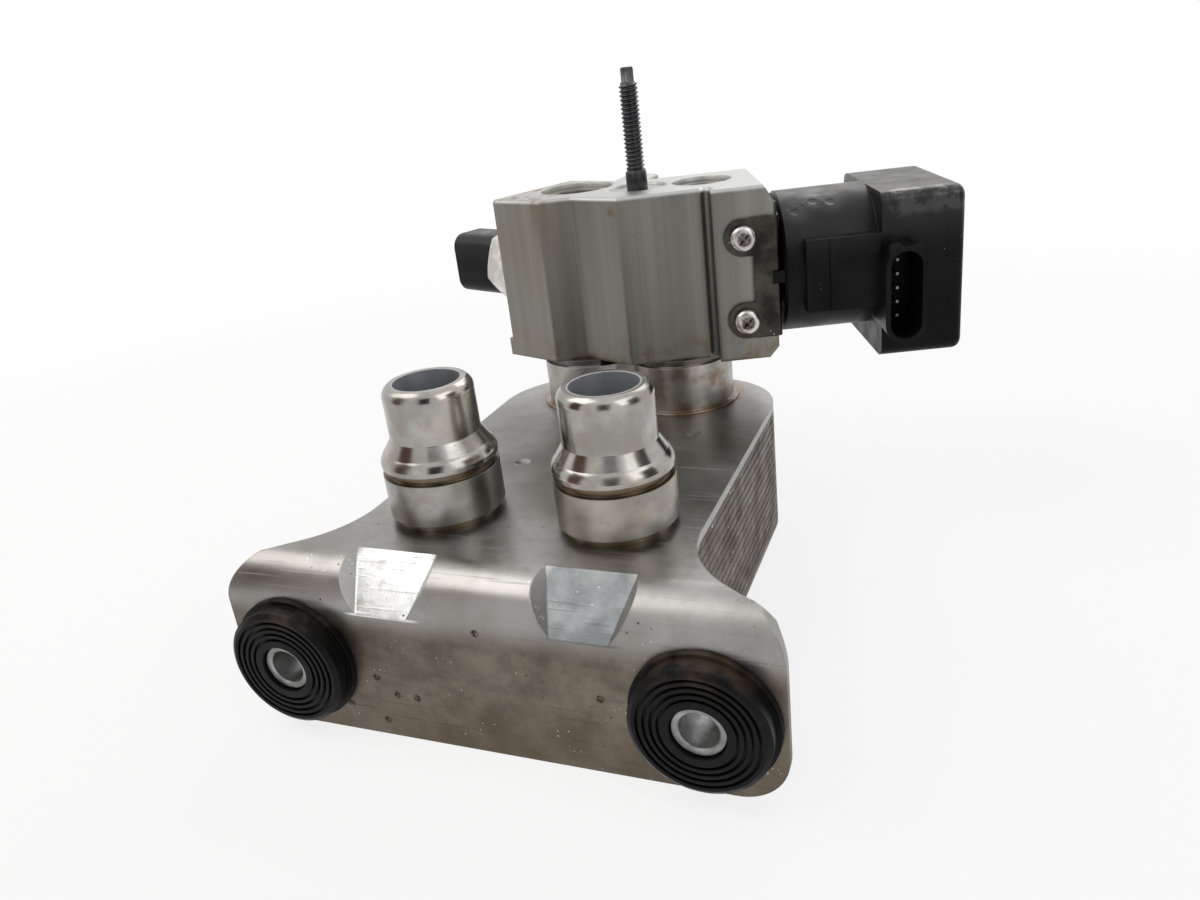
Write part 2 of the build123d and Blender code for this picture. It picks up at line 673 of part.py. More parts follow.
# Valve block
with BuildPart() as valve_block:
    with BuildSketch(Plane.XY.offset(BLOCK_Z0)):
        with BuildLine():
            Polyline(
                crossing(-MID_FRONT, -MID_FRONT),
                flat(right_at(RIGHT_STEP - UNDERCUT_W, -MID_FRONT)),
                flat(right_at(RIGHT_STEP - UNDERCUT_W / 2, -MID_FRONT + UNDERCUT_DEPTH)),
                flat(right_at(RIGHT_STEP, -MID_FRONT + UNDERCUT_DEPTH / 2)),
                flat(right_at(RIGHT_STEP, -RIGHT_FRONT)),
                flat(right_at(RIGHT_END, -RIGHT_FRONT)),
                flat(right_at(RIGHT_END, RIGHT_BACK)),
                crossing(RIGHT_BACK, LEFT_BACK),
                flat(left_at(LEFT_END, LEFT_BACK)),
                flat(left_at(LEFT_END, -LEFT_FRONT)),
                flat(left_at(LEFT_STEP_OUT, -LEFT_FRONT)),
                flat(left_at(LEFT_STEP_IN, -MID_FRONT)),
                close=True,
            )
        make_face()
        with Locations((VALVE_X + LUG_SIDE, VALVE_Y)):
            Rectangle(LUG_W, LUG_LENGTH, align=(Align.CENTER, Align.MIN))
    extrude(amount=BODY_HEIGHT)

    # Top rim, and the milled end faces
    chamfer(valve_block.faces().sort_by(Axis.Z)[-1].edges(), BLOCK_EDGE)
    arm_side = Plane(origin=right_at(0, 0), x_dir=RIGHT_OUT, z_dir=RIGHT_REAR * -1)
    with BuildSketch(arm_side):
        with BuildLine():
            Polyline(
                (RIGHT_END - END_BEVEL, BLOCK_Z1),
                (RIGHT_END + END_BEVEL, BLOCK_Z1),
                (RIGHT_END + END_BEVEL, BLOCK_Z1 - 2 * END_BEVEL_TOP),
                close=True,
            )
        make_face()
        with BuildLine():
            Polyline(
                (RIGHT_END - END_BEVEL, BLOCK_Z0),
                (RIGHT_END + END_BEVEL, BLOCK_Z0),
                (RIGHT_END + END_BEVEL, BLOCK_Z0 + 2 * END_BEVEL_FOOT),
                close=True,
            )
        make_face()
    extrude(amount=BODY_HEIGHT, both=True, mode=Mode.SUBTRACT)
    with BuildSketch(SENSOR_SECTION):
        with Locations((LEFT_END + 1, BLOCK_Z0 + BLOCK_LIP_H - SENSOR_Z)):
            Rectangle(1 + BLOCK_LIP_T, BODY_HEIGHT, align=(Align.MAX, Align.MIN))
    extrude(amount=BODY_HEIGHT, both=True, mode=Mode.SUBTRACT)

    # Suction passage
    with Locations((VALVE_X + SUCTION_PORT[0], VALVE_Y + SUCTION_PORT[1], BLOCK_Z1)):
        CounterBoreHole(SUCTION_PORT_R, SUCTION_SPOT_R, SPOT_DEPTH, PORT_DEPTH)
        Hole(SUCTION_WAY_R, BLOCK_Z1 - SENSOR_Z + SENSOR_THREAD_R)
    with BuildSketch(Plane.XY.offset(BLOCK_Z0)):
        with Locations((-NECK_X, NECK_Y)):
            Circle(SUCTION_R)
    extrude(amount=SENSOR_Z - BLOCK_Z0 + SENSOR_THREAD_R, mode=Mode.SUBTRACT)

    # Liquid passage, down to the cartridge and from the orifice to the neck
    with Locations((VALVE_X + LIQUID_PORT[0], VALVE_Y + LIQUID_PORT[1], BLOCK_Z1)):
        CounterBoreHole(LIQUID_PORT_R, LIQUID_SPOT_R, SPOT_DEPTH, PORT_DEPTH)
        Hole(LIQUID_WAY_R, BLOCK_Z1 - MOTOR_Z - CARTRIDGE_R / 2)
    with BuildSketch(Plane.XY.offset(BLOCK_Z0)):
        with Locations((NECK_X, NECK_Y)):
            Circle(LIQUID_R)
    extrude(amount=MOTOR_Z - BLOCK_Z0 + OUTLET_R, mode=Mode.SUBTRACT)

    # Actuator bore, stepped down to the orifice
    bore_right(OUTLET_START, SEAT_START + 1, OUTLET_R)
    bore_right(SEAT_START, SEAT_END + 1, SEAT_R)
    bore_right(SEAT_END, RIGHT_END + 1, CARTRIDGE_R)
    bore_right(RIGHT_END - CARTRIDGE_FLANGE_T, RIGHT_END + 1, CARTRIDGE_FLANGE_R)

    # Sensor bore with a seat for its seal
    bore_left(SENSOR_TIP - PROBE_LENGTH - 1, LEFT_END + 1, SENSOR_THREAD_R)
    bore_left(LEFT_END - BLOCK_LIP_T - 2 * SEAL_R, LEFT_END + 1, SENSOR_THREAD_R + 2 * SEAL_R + 4 * RUN_FIT)

    # Stud hole with a spot face, and the clamp's screw holes
    with Locations((VALVE_X, VALVE_Y, BLOCK_Z1)):
        CounterBoreHole(STUD_R + RUN_FIT, STUD_SPOT_R, STUD_SPOT_DEPTH, STUD_DEPTH + 1)
    with BuildSketch(RIGHT_FRONT_FACE):
        with Locations((SCREW_A, MOTOR_Z)):
            with GridLocations(0, SCREW_PITCH, 1, 2):
                Circle(SCREW_SHANK_R + RUN_FIT)
    extrude(amount=-SCREW_LENGTH - 1, mode=Mode.SUBTRACT)
save(valve_block, "valve_block")

# Pipe stud with a six-lobe drive end
with BuildPart() as pipe_stud:
    stud_foot = BLOCK_Z1 - STUD_DEPTH
    with BuildSketch(Plane.XY.offset(stud_foot)):
        with Locations((VALVE_X, VALVE_Y)):
            Circle(STUD_R)
    extrude(amount=STUD_TOP - STUD_DRIVE_H - stud_foot)
    with BuildSketch(Plane.XY.offset(BLOCK_Z1 - STUD_SPOT_DEPTH)):
        with Locations((VALVE_X, VALVE_Y)):
            Circle(STUD_SHANK_R)
    extrude(amount=STUD_SHANK_H + STUD_SPOT_DEPTH)
    with BuildSketch(Plane.XY.offset(STUD_TOP - STUD_DRIVE_H)):
        with Locations((VALVE_X, VALVE_Y)):
            Circle(DRIVE_CORE_R)
            with PolarLocations(DRIVE_CORE_R - DRIVE_LOBE_R / 3, 6):
                Circle(DRIVE_LOBE_R)
    extrude(amount=STUD_DRIVE_H)
save(pipe_stud, "pipe_stud")

# Clamp plate: an angle of stainless sheet round the block's end
with BuildPart() as clamp_plate:
    clamp_top = CLAMP_Z1 - MOTOR_Z
    clamp_foot = CLAMP_Z0 - MOTOR_Z
    leg_start = RIGHT_END + RUN_FIT
    fork_r = MOTOR_NECK_R + FORK_GAP
    clamp_face = Plane(
        origin=right_at(0, -RIGHT_FRONT - RUN_FIT, MOTOR_Z), x_dir=RIGHT_OUT, z_dir=RIGHT_REAR * -1
    )
    with BuildSketch(clamp_face):
        with Locations((CLAMP_WEB, clamp_foot)):
            Rectangle(leg_start + CLAMP_T - CLAMP_WEB, CLAMP_Z1 - CLAMP_Z0, align=(Align.MIN, Align.MIN))
        with Locations((SCREW_A, 0)):
            with GridLocations(0, SCREW_PITCH, 1, 2):
                Circle(EAR_R)
        for end in (-1, 1):
            with Locations(((SCREW_A + CLAMP_WEB) / 2, end * SCREW_PITCH / 2)):
                Rectangle(CLAMP_WEB - SCREW_A + 1, 2 * EAR_R)
    extrude(amount=CLAMP_T)
    with BuildSketch(across_right(leg_start)):
        clamp_front = RIGHT_FRONT + RUN_FIT + CLAMP_T + MOTOR_BACK
        with Locations(((clamp_top + clamp_foot) / 2, clamp_front)):
            Rectangle(
                CLAMP_Z1 - CLAMP_Z0, clamp_front + CLAMP_REACH, align=(Align.CENTER, Align.MAX)
            )
        with Locations((clamp_top, MOTOR_BACK - CLAMP_TAB_FRONT)):
            Rectangle(
                CLAMP_TAB, MOTOR_BACK - CLAMP_TAB_FRONT + CLAMP_REACH, align=(Align.MIN, Align.MAX)
            )
        with Locations((0, -CLAMP_REACH)):
            Rectangle(2 * fork_r, CLAMP_REACH, align=(Align.CENTER, Align.MIN), mode=Mode.SUBTRACT)
        Circle(fork_r, mode=Mode.SUBTRACT)
    extrude(amount=CLAMP_T)
    bend_side = Axis(VALVE, RIGHT_OUT - RIGHT_REAR)
    fillet(clamp_plate.edges().filter_by(Axis.Z).group_by(bend_side)[-1], CLAMP_BEND_R)
    with BuildSketch(clamp_face.offset(CLAMP_T)):
        with Locations((leg_start + CLAMP_T, 0)):
            Rectangle(NOTCH_DEPTH, NOTCH_H, align=(Align.MAX, Align.CENTER))
    extrude(amount=-2 * CLAMP_T, mode=Mode.SUBTRACT)
    with BuildSketch(clamp_face):
        with Locations((SCREW_A, 0)):
            with GridLocations(0, SCREW_PITCH, 1, 2):
                Circle(SCREW_SHANK_R + SCREW_GAP)
    extrude(amount=CLAMP_T, mode=Mode.SUBTRACT)
save(clamp_plate, "clamp_plate")

# Two pan-head screws with cross recesses
with BuildPart() as clamp_screws:
    seat = clamp_face.offset(CLAMP_T)
    with BuildSketch(seat):
        with Locations((SCREW_A, 0)):
            with GridLocations(0, SCREW_PITCH, 1, 2):
                Circle(SCREW_HEAD_R)
    extrude(amount=SCREW_HEAD_H)
    head_tops = clamp_screws.faces().sort_by(Axis(seat.origin, seat.z_dir))[-2:]
    fillet(head_tops.edges(), SCREW_HEAD_EDGE)
    with BuildSketch(seat):
        with Locations((SCREW_A, 0)):
            with GridLocations(0, SCREW_PITCH, 1, 2):
                Circle(SCREW_SHANK_R)
    extrude(amount=-SCREW_LENGTH)
    with BuildSketch(seat.offset(SCREW_HEAD_H)):
        with Locations((SCREW_A, 0)):
            with GridLocations(0, SCREW_PITCH, 1, 2):
                with Locations(Rotation(0, 0, 45)):
                    Rectangle(CROSS_W, CROSS_T)
                    Rectangle(CROSS_T, CROSS_W)
    extrude(amount=-CROSS_DEPTH, mode=Mode.SUBTRACT)
save(clamp_screws, "clamp_screws")

# Motor housing: one moulding of barrel, head shell and connector socket
with BuildPart() as motor_housing:
    with BuildSketch(across_right(RIGHT_END + RUN_FIT)):
        Circle(MOTOR_NECK_R)
    extrude(amount=MOTOR_START - RIGHT_END)
    with BuildSketch(across_right(MOTOR_START)):
        Circle(MOTOR_R)
    extrude(amount=HEAD_START - MOTOR_START)
    barrel_rims = motor_housing.edges().filter_by(GeomType.CIRCLE).group_by(SortBy.RADIUS)[-1]
    chamfer(barrel_rims.sort_by(MOTOR_AXIS)[0], MOTOR_RIM)
    # Anti-rotation tab in the clamp's notch
    with BuildSketch(across_right(MOTOR_START)):
        with Locations((0, RIGHT_FRONT + MOTOR_BACK + TAB_GAP)):
            Rectangle(NOTCH_H - 2 * TAB_GAP, CLAMP_T + TAB_GAP, align=(Align.CENTER, Align.MIN))
    extrude(amount=-(MOTOR_START - RIGHT_END - CLAMP_T + NOTCH_DEPTH - 2 * TAB_GAP))
    # Raised wiring channel on the barrel
    channel_reach = MOTOR_BACK - CHANNEL_FRONT
    for start, reach in ((CHANNEL_START, channel_reach), (CHANNEL_STEP, channel_reach + CHANNEL_RISE)):
        with BuildSketch(across_right(start)):
            with Locations((CHANNEL_Z - MOTOR_Z, 0)):
                Rectangle(CHANNEL_H, reach, align=(Align.CENTER, Align.MIN))
        extrude(amount=HEAD_START - start)
    # Head shell
    with BuildSketch(across_right(HEAD_START, HEAD_MID, HEAD_MID_Z)):
        RectangleRounded(HEAD_Z1 - HEAD_Z0, HEAD_REAR - HEAD_FRONT, HEAD_EDGE_R)
    extrude(amount=COVER_START - HEAD_START)
    # Connector socket
    socket_back = SOCKET_FRONT + SOCKET_DEPTH + SOCKET_WALL
    socket_face = Plane(
        origin=right_at(SOCKET_A, SOCKET_FRONT, SOCKET_Z), x_dir=RIGHT_OUT, z_dir=RIGHT_REAR * -1
    )
    with BuildSketch(socket_face):
        RectangleRounded(SOCKET_W, SOCKET_H, SOCKET_ROUND)
    extrude(amount=-(SOCKET_DEPTH + SOCKET_WALL))
    with BuildSketch(socket_face):
        key_rise = SOCKET_H / 2 - SOCKET_KEY_R / 2
        with Locations((-SOCKET_W / 4, key_rise), (SOCKET_W / 4, key_rise - SOCKET_KEY_R / 4)):
            Circle(SOCKET_KEY_R)
    extrude(amount=-(SOCKET_DEPTH + SOCKET_WALL))
    # Hollow head, stator chamber and bore for the rotor's can
    with BuildSketch(across_right(HEAD_START + HEAD_WALL, HEAD_MID, HEAD_MID_Z)):
        RectangleRounded(HEAD_ROOM_H, HEAD_ROOM_W, HEAD_ROOM_R)
        with Locations((SOCKET_Z - HEAD_MID_Z, HEAD_MID - HEAD_FRONT)):
            Rectangle(SOCKET_H, 2 * (socket_back - HEAD_FRONT), mode=Mode.SUBTRACT)
    extrude(amount=SOCKET_END - HEAD_START - HEAD_WALL, mode=Mode.SUBTRACT)
    with BuildSketch(across_right(SOCKET_END, HEAD_MID, HEAD_MID_Z)):
        RectangleRounded(HEAD_ROOM_H, HEAD_ROOM_W, HEAD_ROOM_R)
    extrude(amount=HEAD_END, mode=Mode.SUBTRACT)
    with BuildSketch(across_right(YOKE_START - RUN_FIT)):
        Circle(YOKE_R + RUN_FIT)
    extrude(amount=2 * COIL_LEN + 3 * YOKE_T + 2 * RUN_FIT, mode=Mode.SUBTRACT)
    with BuildSketch(across_right(RIGHT_END)):
        Circle(CAN_R + RUN_FIT)
    extrude(amount=CAN_END + RUN_FIT - RIGHT_END, mode=Mode.SUBTRACT)
    # Socket cavity and the slots for its pins
    with BuildSketch(socket_face):
        RectangleRounded(
            SOCKET_W - 2 * SOCKET_WALL, SOCKET_H - 2 * SOCKET_WALL, SOCKET_ROUND - SOCKET_WALL
        )
    extrude(amount=-SOCKET_DEPTH, mode=Mode.SUBTRACT)
    with BuildSketch(socket_face.offset(-SOCKET_DEPTH)):
        with GridLocations(0, SOCKET_PIN_PITCH, 1, SOCKET_PIN_COUNT):
            Rectangle(PIN + 2 * RUN_FIT, PIN + 2 * RUN_FIT)
    extrude(amount=-2 * SOCKET_WALL, mode=Mode.SUBTRACT)
save(motor_housing, "motor_housing")

with BuildPart() as head_cover:
    with BuildSketch(across_right(COVER_START, HEAD_MID, HEAD_MID_Z)):
        RectangleRounded(HEAD_Z1 - HEAD_Z0, HEAD_REAR - HEAD_FRONT, HEAD_EDGE_R)
    extrude(amount=COVER_T)
    fillet(head_cover.faces().sort_by(Axis(VALVE, RIGHT_OUT))[-1].edges(), COVER_EDGE_R)
    with BuildSketch(across_right(COVER_START, HEAD_MID, HEAD_MID_Z)):
        RectangleRounded(HEAD_ROOM_H, HEAD_ROOM_W, HEAD_ROOM_R)
    extrude(amount=COVER_T - HEAD_WALL, mode=Mode.SUBTRACT)
save(head_cover, "head_cover")

# Drive board across the head, with its chips
with BuildPart() as circuit_board:
    with BuildSketch(across_right(BOARD_START, HEAD_MID, HEAD_MID_Z)):
        RectangleRounded(HEAD_ROOM_H - 2 * BOARD_GAP, HEAD_ROOM_W - 2 * BOARD_GAP, HEAD_ROOM_R)
    extrude(amount=BOARD_T)
    with BuildSketch(across_right(BOARD_START + BOARD_T, HEAD_MID, HEAD_MID_Z)):
        for up, front, height, width in CHIPS:
            with Locations((up, front)):
                Rectangle(height, width)
    extrude(amount=CHIP_T)
save(circuit_board, "circuit_board")

with BuildPart() as socket_pins:
    pin_base = SOCKET_FRONT + SOCKET_DEPTH
    pin_bend = pin_base + SOCKET_WALL + PIN_ELBOW
    with BuildSketch(socket_face.offset(SOCKET_PIN_REACH - SOCKET_DEPTH)):
        with GridLocations(0, SOCKET_PIN_PITCH, 1, SOCKET_PIN_COUNT):
            Rectangle(PIN, PIN)
    extrude(amount=-(pin_bend - pin_base + SOCKET_PIN_REACH))
    with BuildSketch(across_right(SOCKET_A, pin_bend - PIN / 2, SOCKET_Z)):
        with GridLocations(SOCKET_PIN_PITCH, 0, SOCKET_PIN_COUNT, 1):
            Rectangle(PIN, PIN)
    extrude(amount=BOARD_START - SOCKET_A)
save(socket_pins, "socket_pins")

# Stator: two wound coils in a soft-iron yoke with claw plates
coil_starts = (YOKE_START + YOKE_T, YOKE_START + 2 * YOKE_T + COIL_LEN)
for name, start in zip(("coil_front", "coil_rear"), coil_starts):
    with BuildPart() as coil:
        turned(MOTOR_SECTION, MOTOR_AXIS, ring_points(start, start + COIL_LEN, COIL_IN_R, COIL_OUT_R))
    save(coil, name)

with BuildPart() as stator_yoke:
    yoke_end = YOKE_START + 3 * YOKE_T + 2 * COIL_LEN
    turned(MOTOR_SECTION, MOTOR_AXIS, ring_points(YOKE_START, yoke_end, CAN_R + YOKE_GAP, YOKE_R))
    for start in coil_starts:
        with BuildSketch(across_right(start)):
            Circle(COIL_OUT_R + RUN_FIT)
            Circle(COIL_IN_R - RUN_FIT, mode=Mode.SUBTRACT)
        extrude(amount=COIL_LEN, mode=Mode.SUBTRACT)
save(stator_yoke, "stator_yoke")

with BuildPart() as rotor_can:
    can_start = RIGHT_END + RUN_FIT
    can_in = CAN_R - CAN_WALL
    turned(
        MOTOR_SECTION,
        MOTOR_AXIS,
        [
            (can_start, can_in),
            (CAN_END - CAN_WALL, can_in),
            (CAN_END - CAN_WALL, 0),
            (CAN_END, 0),
            (CAN_END, CAN_R),
            (can_start, CAN_R),
        ],
    )
save(rotor_can, "rotor_can")

with BuildPart() as rotor_bush:
    bush_end = CAN_END - CAN_WALL
    turned(
        MOTOR_SECTION,
        MOTOR_AXIS,
        ring_points(bush_end - BUSH_T, bush_end, SCREW_R + RUN_FIT, can_in - RUN_FIT),
    )
save(rotor_bush, "rotor_bush")

with BuildPart() as rotor_magnet:
    turned(
        MOTOR_SECTION,
        MOTOR_AXIS,
        ring_points(ROTOR_START, ROTOR_END, ROTOR_HUB_R + HUB_FIT, ROTOR_R),
    )
save(rotor_magnet, "rotor_magnet")

with BuildPart() as rotor_shaft:
    turned(
        MOTOR_SECTION,
        MOTOR_AXIS,
        [
            (SCREW_TIP, 0),
            (bush_end - SHAFT_PLAY, 0),
            (bush_end - SHAFT_PLAY, SCREW_R),
            (ROTOR_END + HUB_REACH, SCREW_R),
            (ROTOR_END + HUB_REACH, ROTOR_HUB_R),
            (ROTOR_START - HUB_REACH, ROTOR_HUB_R),
            (ROTOR_START - HUB_REACH, SCREW_R),
            (SCREW_TIP, SCREW_R),
        ],
    )
save(rotor_shaft, "rotor_shaft")

# Cartridge that guides the needle, with two seal grooves and a flange under the clamp
seal_floor = CARTRIDGE_R - 2 * SEAL_R
with BuildPart() as needle_guide:
    flange_start = RIGHT_END - CARTRIDGE_FLANGE_T + RUN_FIT
    guide_in = NEEDLE_R + RUN_FIT
    turned(
        MOTOR_SECTION,
        MOTOR_AXIS,
        [
            (SEAT_END, GUIDE_MOUTH_R),
            (SEAT_END + GUIDE_MOUTH, GUIDE_MOUTH_R),
            (SEAT_END + GUIDE_MOUTH, guide_in),
            (RIGHT_END + GUIDE_SPIGOT, guide_in),
            (RIGHT_END + GUIDE_SPIGOT, can_in - RUN_FIT),
            (RIGHT_END, can_in - RUN_FIT),
            (RIGHT_END, CARTRIDGE_FLANGE_R - RUN_FIT),
            (flange_start, CARTRIDGE_FLANGE_R - RUN_FIT),
            (flange_start, CARTRIDGE_R - RUN_FIT),
            (SEAT_END + GUIDE_WAIST_END, CARTRIDGE_R - RUN_FIT),
            (SEAT_END + GUIDE_WAIST_END, GUIDE_WAIST_R),
            (SEAT_END + GUIDE_WAIST_START, GUIDE_WAIST_R),
            (SEAT_END + GUIDE_WAIST_START, CARTRIDGE_R - RUN_FIT),
            (SEAT_END, CARTRIDGE_R - RUN_FIT),
        ],
    )
    for along in CARTRIDGE_SEALS:
        with BuildSketch(across_right(along - SEAL_R - RUN_FIT)):
            Circle(CARTRIDGE_R + 1)
            Circle(seal_floor - RUN_FIT, mode=Mode.SUBTRACT)
        extrude(amount=2 * (SEAL_R + RUN_FIT), mode=Mode.SUBTRACT)
    window = right_at(SEAT_END + (GUIDE_WAIST_START + GUIDE_MOUTH) / 2, MOTOR_BACK, MOTOR_Z)
    with BuildSketch(Plane(origin=window, x_dir=RIGHT_OUT, z_dir=UP)):
        Circle(GUIDE_WINDOW_R)
    extrude(amount=CARTRIDGE_R, both=True, mode=Mode.SUBTRACT)
save(needle_guide, "needle_guide")

with BuildPart() as cartridge_seals:
    for along in CARTRIDGE_SEALS:
        seal_ring(MOTOR_SECTION, MOTOR_AXIS, along, CARTRIDGE_R - SEAL_R)
save(cartridge_seals, "cartridge_seals")

with BuildPart() as valve_seat:
    turned(
        MOTOR_SECTION,
        MOTOR_AXIS,
        [
            (SEAT_START, ORIFICE_R),
            (SEAT_END - SEAT_CONE, ORIFICE_R),
            (SEAT_END, ORIFICE_R + SEAT_FLARE),
            (SEAT_END, SEAT_R - RUN_FIT),
            (SEAT_START, SEAT_R - RUN_FIT),
        ],
    )
save(valve_seat, "valve_seat")

with BuildPart() as valve_needle:
    tip_start = SEAT_START + NEEDLE_POINT_R
    screw_hole = SCREW_R + RUN_FIT
    hole_floor = SCREW_TIP - STROKE - HOLE_ROOM
    turned(
        MOTOR_SECTION,
        MOTOR_AXIS,
        [
            (tip_start, 0),
            (tip_start, NEEDLE_POINT_R),
            (SEAT_END - SEAT_CONE, ORIFICE_R - RUN_FIT),
            (SEAT_END, ORIFICE_R + SEAT_FLARE - 2 * RUN_FIT),
            (NEEDLE_SHOULDER, NEEDLE_ROD_R),
            (NEEDLE_SHOULDER, NEEDLE_R),
            (NEEDLE_END, NEEDLE_R),
            (NEEDLE_END, screw_hole),
            (hole_floor, screw_hole),
            (hole_floor, 0),
        ],
    )
save(valve_needle, "valve_needle")

# Sensor: turned body, cell, seal, moulded plug and its pins
collar_start = LEFT_END - BLOCK_LIP_T + RUN_FIT
with BuildPart() as sensor_body:
    turned(
        SENSOR_SECTION,
        SENSOR_AXIS,
        [
            (collar_start, 0),
            (SENSOR_COLLAR_END, 0),
            (SENSOR_COLLAR_END, SENSOR_R - SENSOR_HEX_EDGE),
            (SENSOR_COLLAR_END - SENSOR_HEX_EDGE / 2, SENSOR_R),
            (collar_start + SENSOR_HEX_EDGE / 2, SENSOR_R),
            (collar_start, SENSOR_R - SENSOR_HEX_EDGE),
        ],
    )
    with BuildSketch(across_left(collar_start)):
        RegularPolygon(SENSOR_R, 6, rotation=SENSOR_HEX_TURN)
    extrude(amount=SENSOR_COLLAR_END - collar_start, mode=Mode.INTERSECT)
    with BuildSketch(across_left(collar_start + SENSOR_BASE_T)):
        Circle(SENSOR_CUP_R)
    extrude(amount=SENSOR_COLLAR_END, mode=Mode.SUBTRACT)
    with BuildSketch(across_left(SENSOR_TIP)):
        Circle(SENSOR_THREAD_R - RUN_FIT)
    extrude(amount=collar_start - SENSOR_TIP)
    with BuildSketch(across_left(SENSOR_TIP)):
        Circle(PROBE_R)
    extrude(amount=-PROBE_LENGTH)
save(sensor_body, "sensor_body")

with BuildPart() as sensor_seal:
    seal_along = collar_start - RUN_FIT - SEAL_R
    seal_ring(SENSOR_SECTION, SENSOR_AXIS, seal_along, SENSOR_THREAD_R + SEAL_R + RUN_FIT)
save(sensor_seal, "sensor_seal")

cell_start = collar_start + SENSOR_BASE_T
plug_start = cell_start + CELL_T
with BuildPart() as sensor_cell:
    with BuildSketch(across_left(cell_start)):
        Circle(SENSOR_CUP_R - RUN_FIT)
    extrude(amount=CELL_T)
save(sensor_cell, "sensor_cell")

with BuildPart() as sensor_plug:
    with BuildSketch(across_left(plug_start)):
        Circle(SENSOR_CUP_R - RUN_FIT)
    extrude(amount=SENSOR_COLLAR_END - plug_start)
    with BuildSketch(across_left(SENSOR_COLLAR_END)):
        RectangleRounded(SENSOR_PLUG_H, SENSOR_PLUG_W, SENSOR_PLUG_R)
    extrude(amount=SENSOR_PLUG_END - SENSOR_COLLAR_END)
    with BuildSketch(across_left(SENSOR_PLUG_END)):
        RectangleRounded(
            SENSOR_PLUG_H - 2 * SENSOR_PLUG_WALL,
            SENSOR_PLUG_W - 2 * SENSOR_PLUG_WALL,
            SENSOR_PLUG_R - SENSOR_PLUG_WALL,
        )
    extrude(amount=-SENSOR_PLUG_DEPTH, mode=Mode.SUBTRACT)
    with BuildSketch(across_left(plug_start)):
        with GridLocations(SENSOR_PIN_PITCH, 0, SENSOR_PIN_COUNT, 1):
            Rectangle(PIN + 2 * RUN_FIT, PIN + 2 * RUN_FIT)
    extrude(amount=SENSOR_PLUG_END - cell_start, mode=Mode.SUBTRACT)
save(sensor_plug, "sensor_plug")

with BuildPart() as sensor_pins:
    with BuildSketch(across_left(plug_start)):
        with GridLocations(SENSOR_PIN_PITCH, 0, SENSOR_PIN_COUNT, 1):
            Rectangle(PIN, PIN)
    extrude(amount=SENSOR_PLUG_END - SENSOR_PLUG_DEPTH + SENSOR_PIN_REACH - plug_start)
save(sensor_pins, "sensor_pins")
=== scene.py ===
import json
import math

import bpy
from mathutils import Matrix, Vector


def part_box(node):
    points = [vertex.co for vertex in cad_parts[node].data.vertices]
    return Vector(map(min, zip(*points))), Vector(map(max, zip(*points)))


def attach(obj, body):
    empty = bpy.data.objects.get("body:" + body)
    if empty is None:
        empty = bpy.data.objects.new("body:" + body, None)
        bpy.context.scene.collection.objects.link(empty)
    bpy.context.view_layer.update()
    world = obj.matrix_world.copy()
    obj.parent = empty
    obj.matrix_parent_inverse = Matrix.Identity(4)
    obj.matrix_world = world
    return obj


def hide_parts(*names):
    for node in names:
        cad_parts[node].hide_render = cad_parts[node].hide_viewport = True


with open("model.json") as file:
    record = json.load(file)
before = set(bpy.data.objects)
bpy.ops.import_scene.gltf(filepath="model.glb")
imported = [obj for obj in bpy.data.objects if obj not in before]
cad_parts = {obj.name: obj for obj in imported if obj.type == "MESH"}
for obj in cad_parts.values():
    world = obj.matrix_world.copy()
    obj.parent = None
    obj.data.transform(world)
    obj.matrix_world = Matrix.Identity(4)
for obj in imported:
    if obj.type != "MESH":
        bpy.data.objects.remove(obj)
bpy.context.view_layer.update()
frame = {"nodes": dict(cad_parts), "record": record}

# Looks and light of a plate chiller with an electronic expansion valve. Places are in the part's
# own frame: X along the flange, Y back, Z up, from midway between the coolant spigots on the plate.
# Named places and sizes are in millimetres, lamps and cards in metres.
MM = 0.001
MOUNTS = {mount["name"]: mount for mount in frame["record"]["mounts"]}

# Camera of the photograph
CAMERA_AT = Vector((113.92, -209.65, 115.76))
CAMERA_YAW = 23.56
CAMERA_PITCH = 22.67
CAMERA_ROLL = -6.83
FOCAL_PX = 963.96
PHOTO_WIDTH = 1200
SENSOR_WIDTH = 36.0
CLIP_START = 10

# Floor, in metres: near the part this share of it glows white and the rest takes the shadow
FLOOR_GLOW = 0.82
FLOOR_NEAR = 0.28
FLOOR_FAR = 0.75
FLOOR_TONE = 0.9
FLOOR_SIZE = 6.0
FLOOR_GAP = 0.0002

# Studio: the place, in metres, that the lamps aim at, and how much light the world itself gives
AIM = (0, 0.04, 0)
WORLD_LEVEL = 0.5

# Lamps: name, place, size, watts and tint
LAMPS = (
    ("key", (-0.75, -0.3, 1.05), (1.0, 1.0), 6.5, (1, 0.985, 0.96)),
    ("fill", (0.9, -0.25, 0.6), (0.7, 0.9), 2.6, (0.95, 0.98, 1)),
    ("rim", (0.15, 0.95, 0.8), (1.0, 0.5), 3.2, (1, 1, 1)),
)

# Dull cards out of view, for the bright metal to reflect: name, place, size and colour
CARDS = (
    ("flag_left", (-0.6, -0.45, 0.12), (0.4, 1.0), (0.2, 0.085, 0.055)),
    ("flag_front", (0.3, -0.95, 0.3), (0.5, 1.0), (0.04, 0.04, 0.042)),
    ("flag_right", (0.8, 0.0, 0.1), (0.4, 0.9), (0.06, 0.05, 0.045)),
)

# Coolant spigots
SPIGOT_BORE = MOUNTS["coolant_bore_right"]
SPIGOT_X = SPIGOT_BORE["pos_m"][0] / MM
SPIGOT_BORE_R = SPIGOT_BORE["dims"]["r_mm"]
SPIGOT_BORE_FADE = (0.1, 0.6)

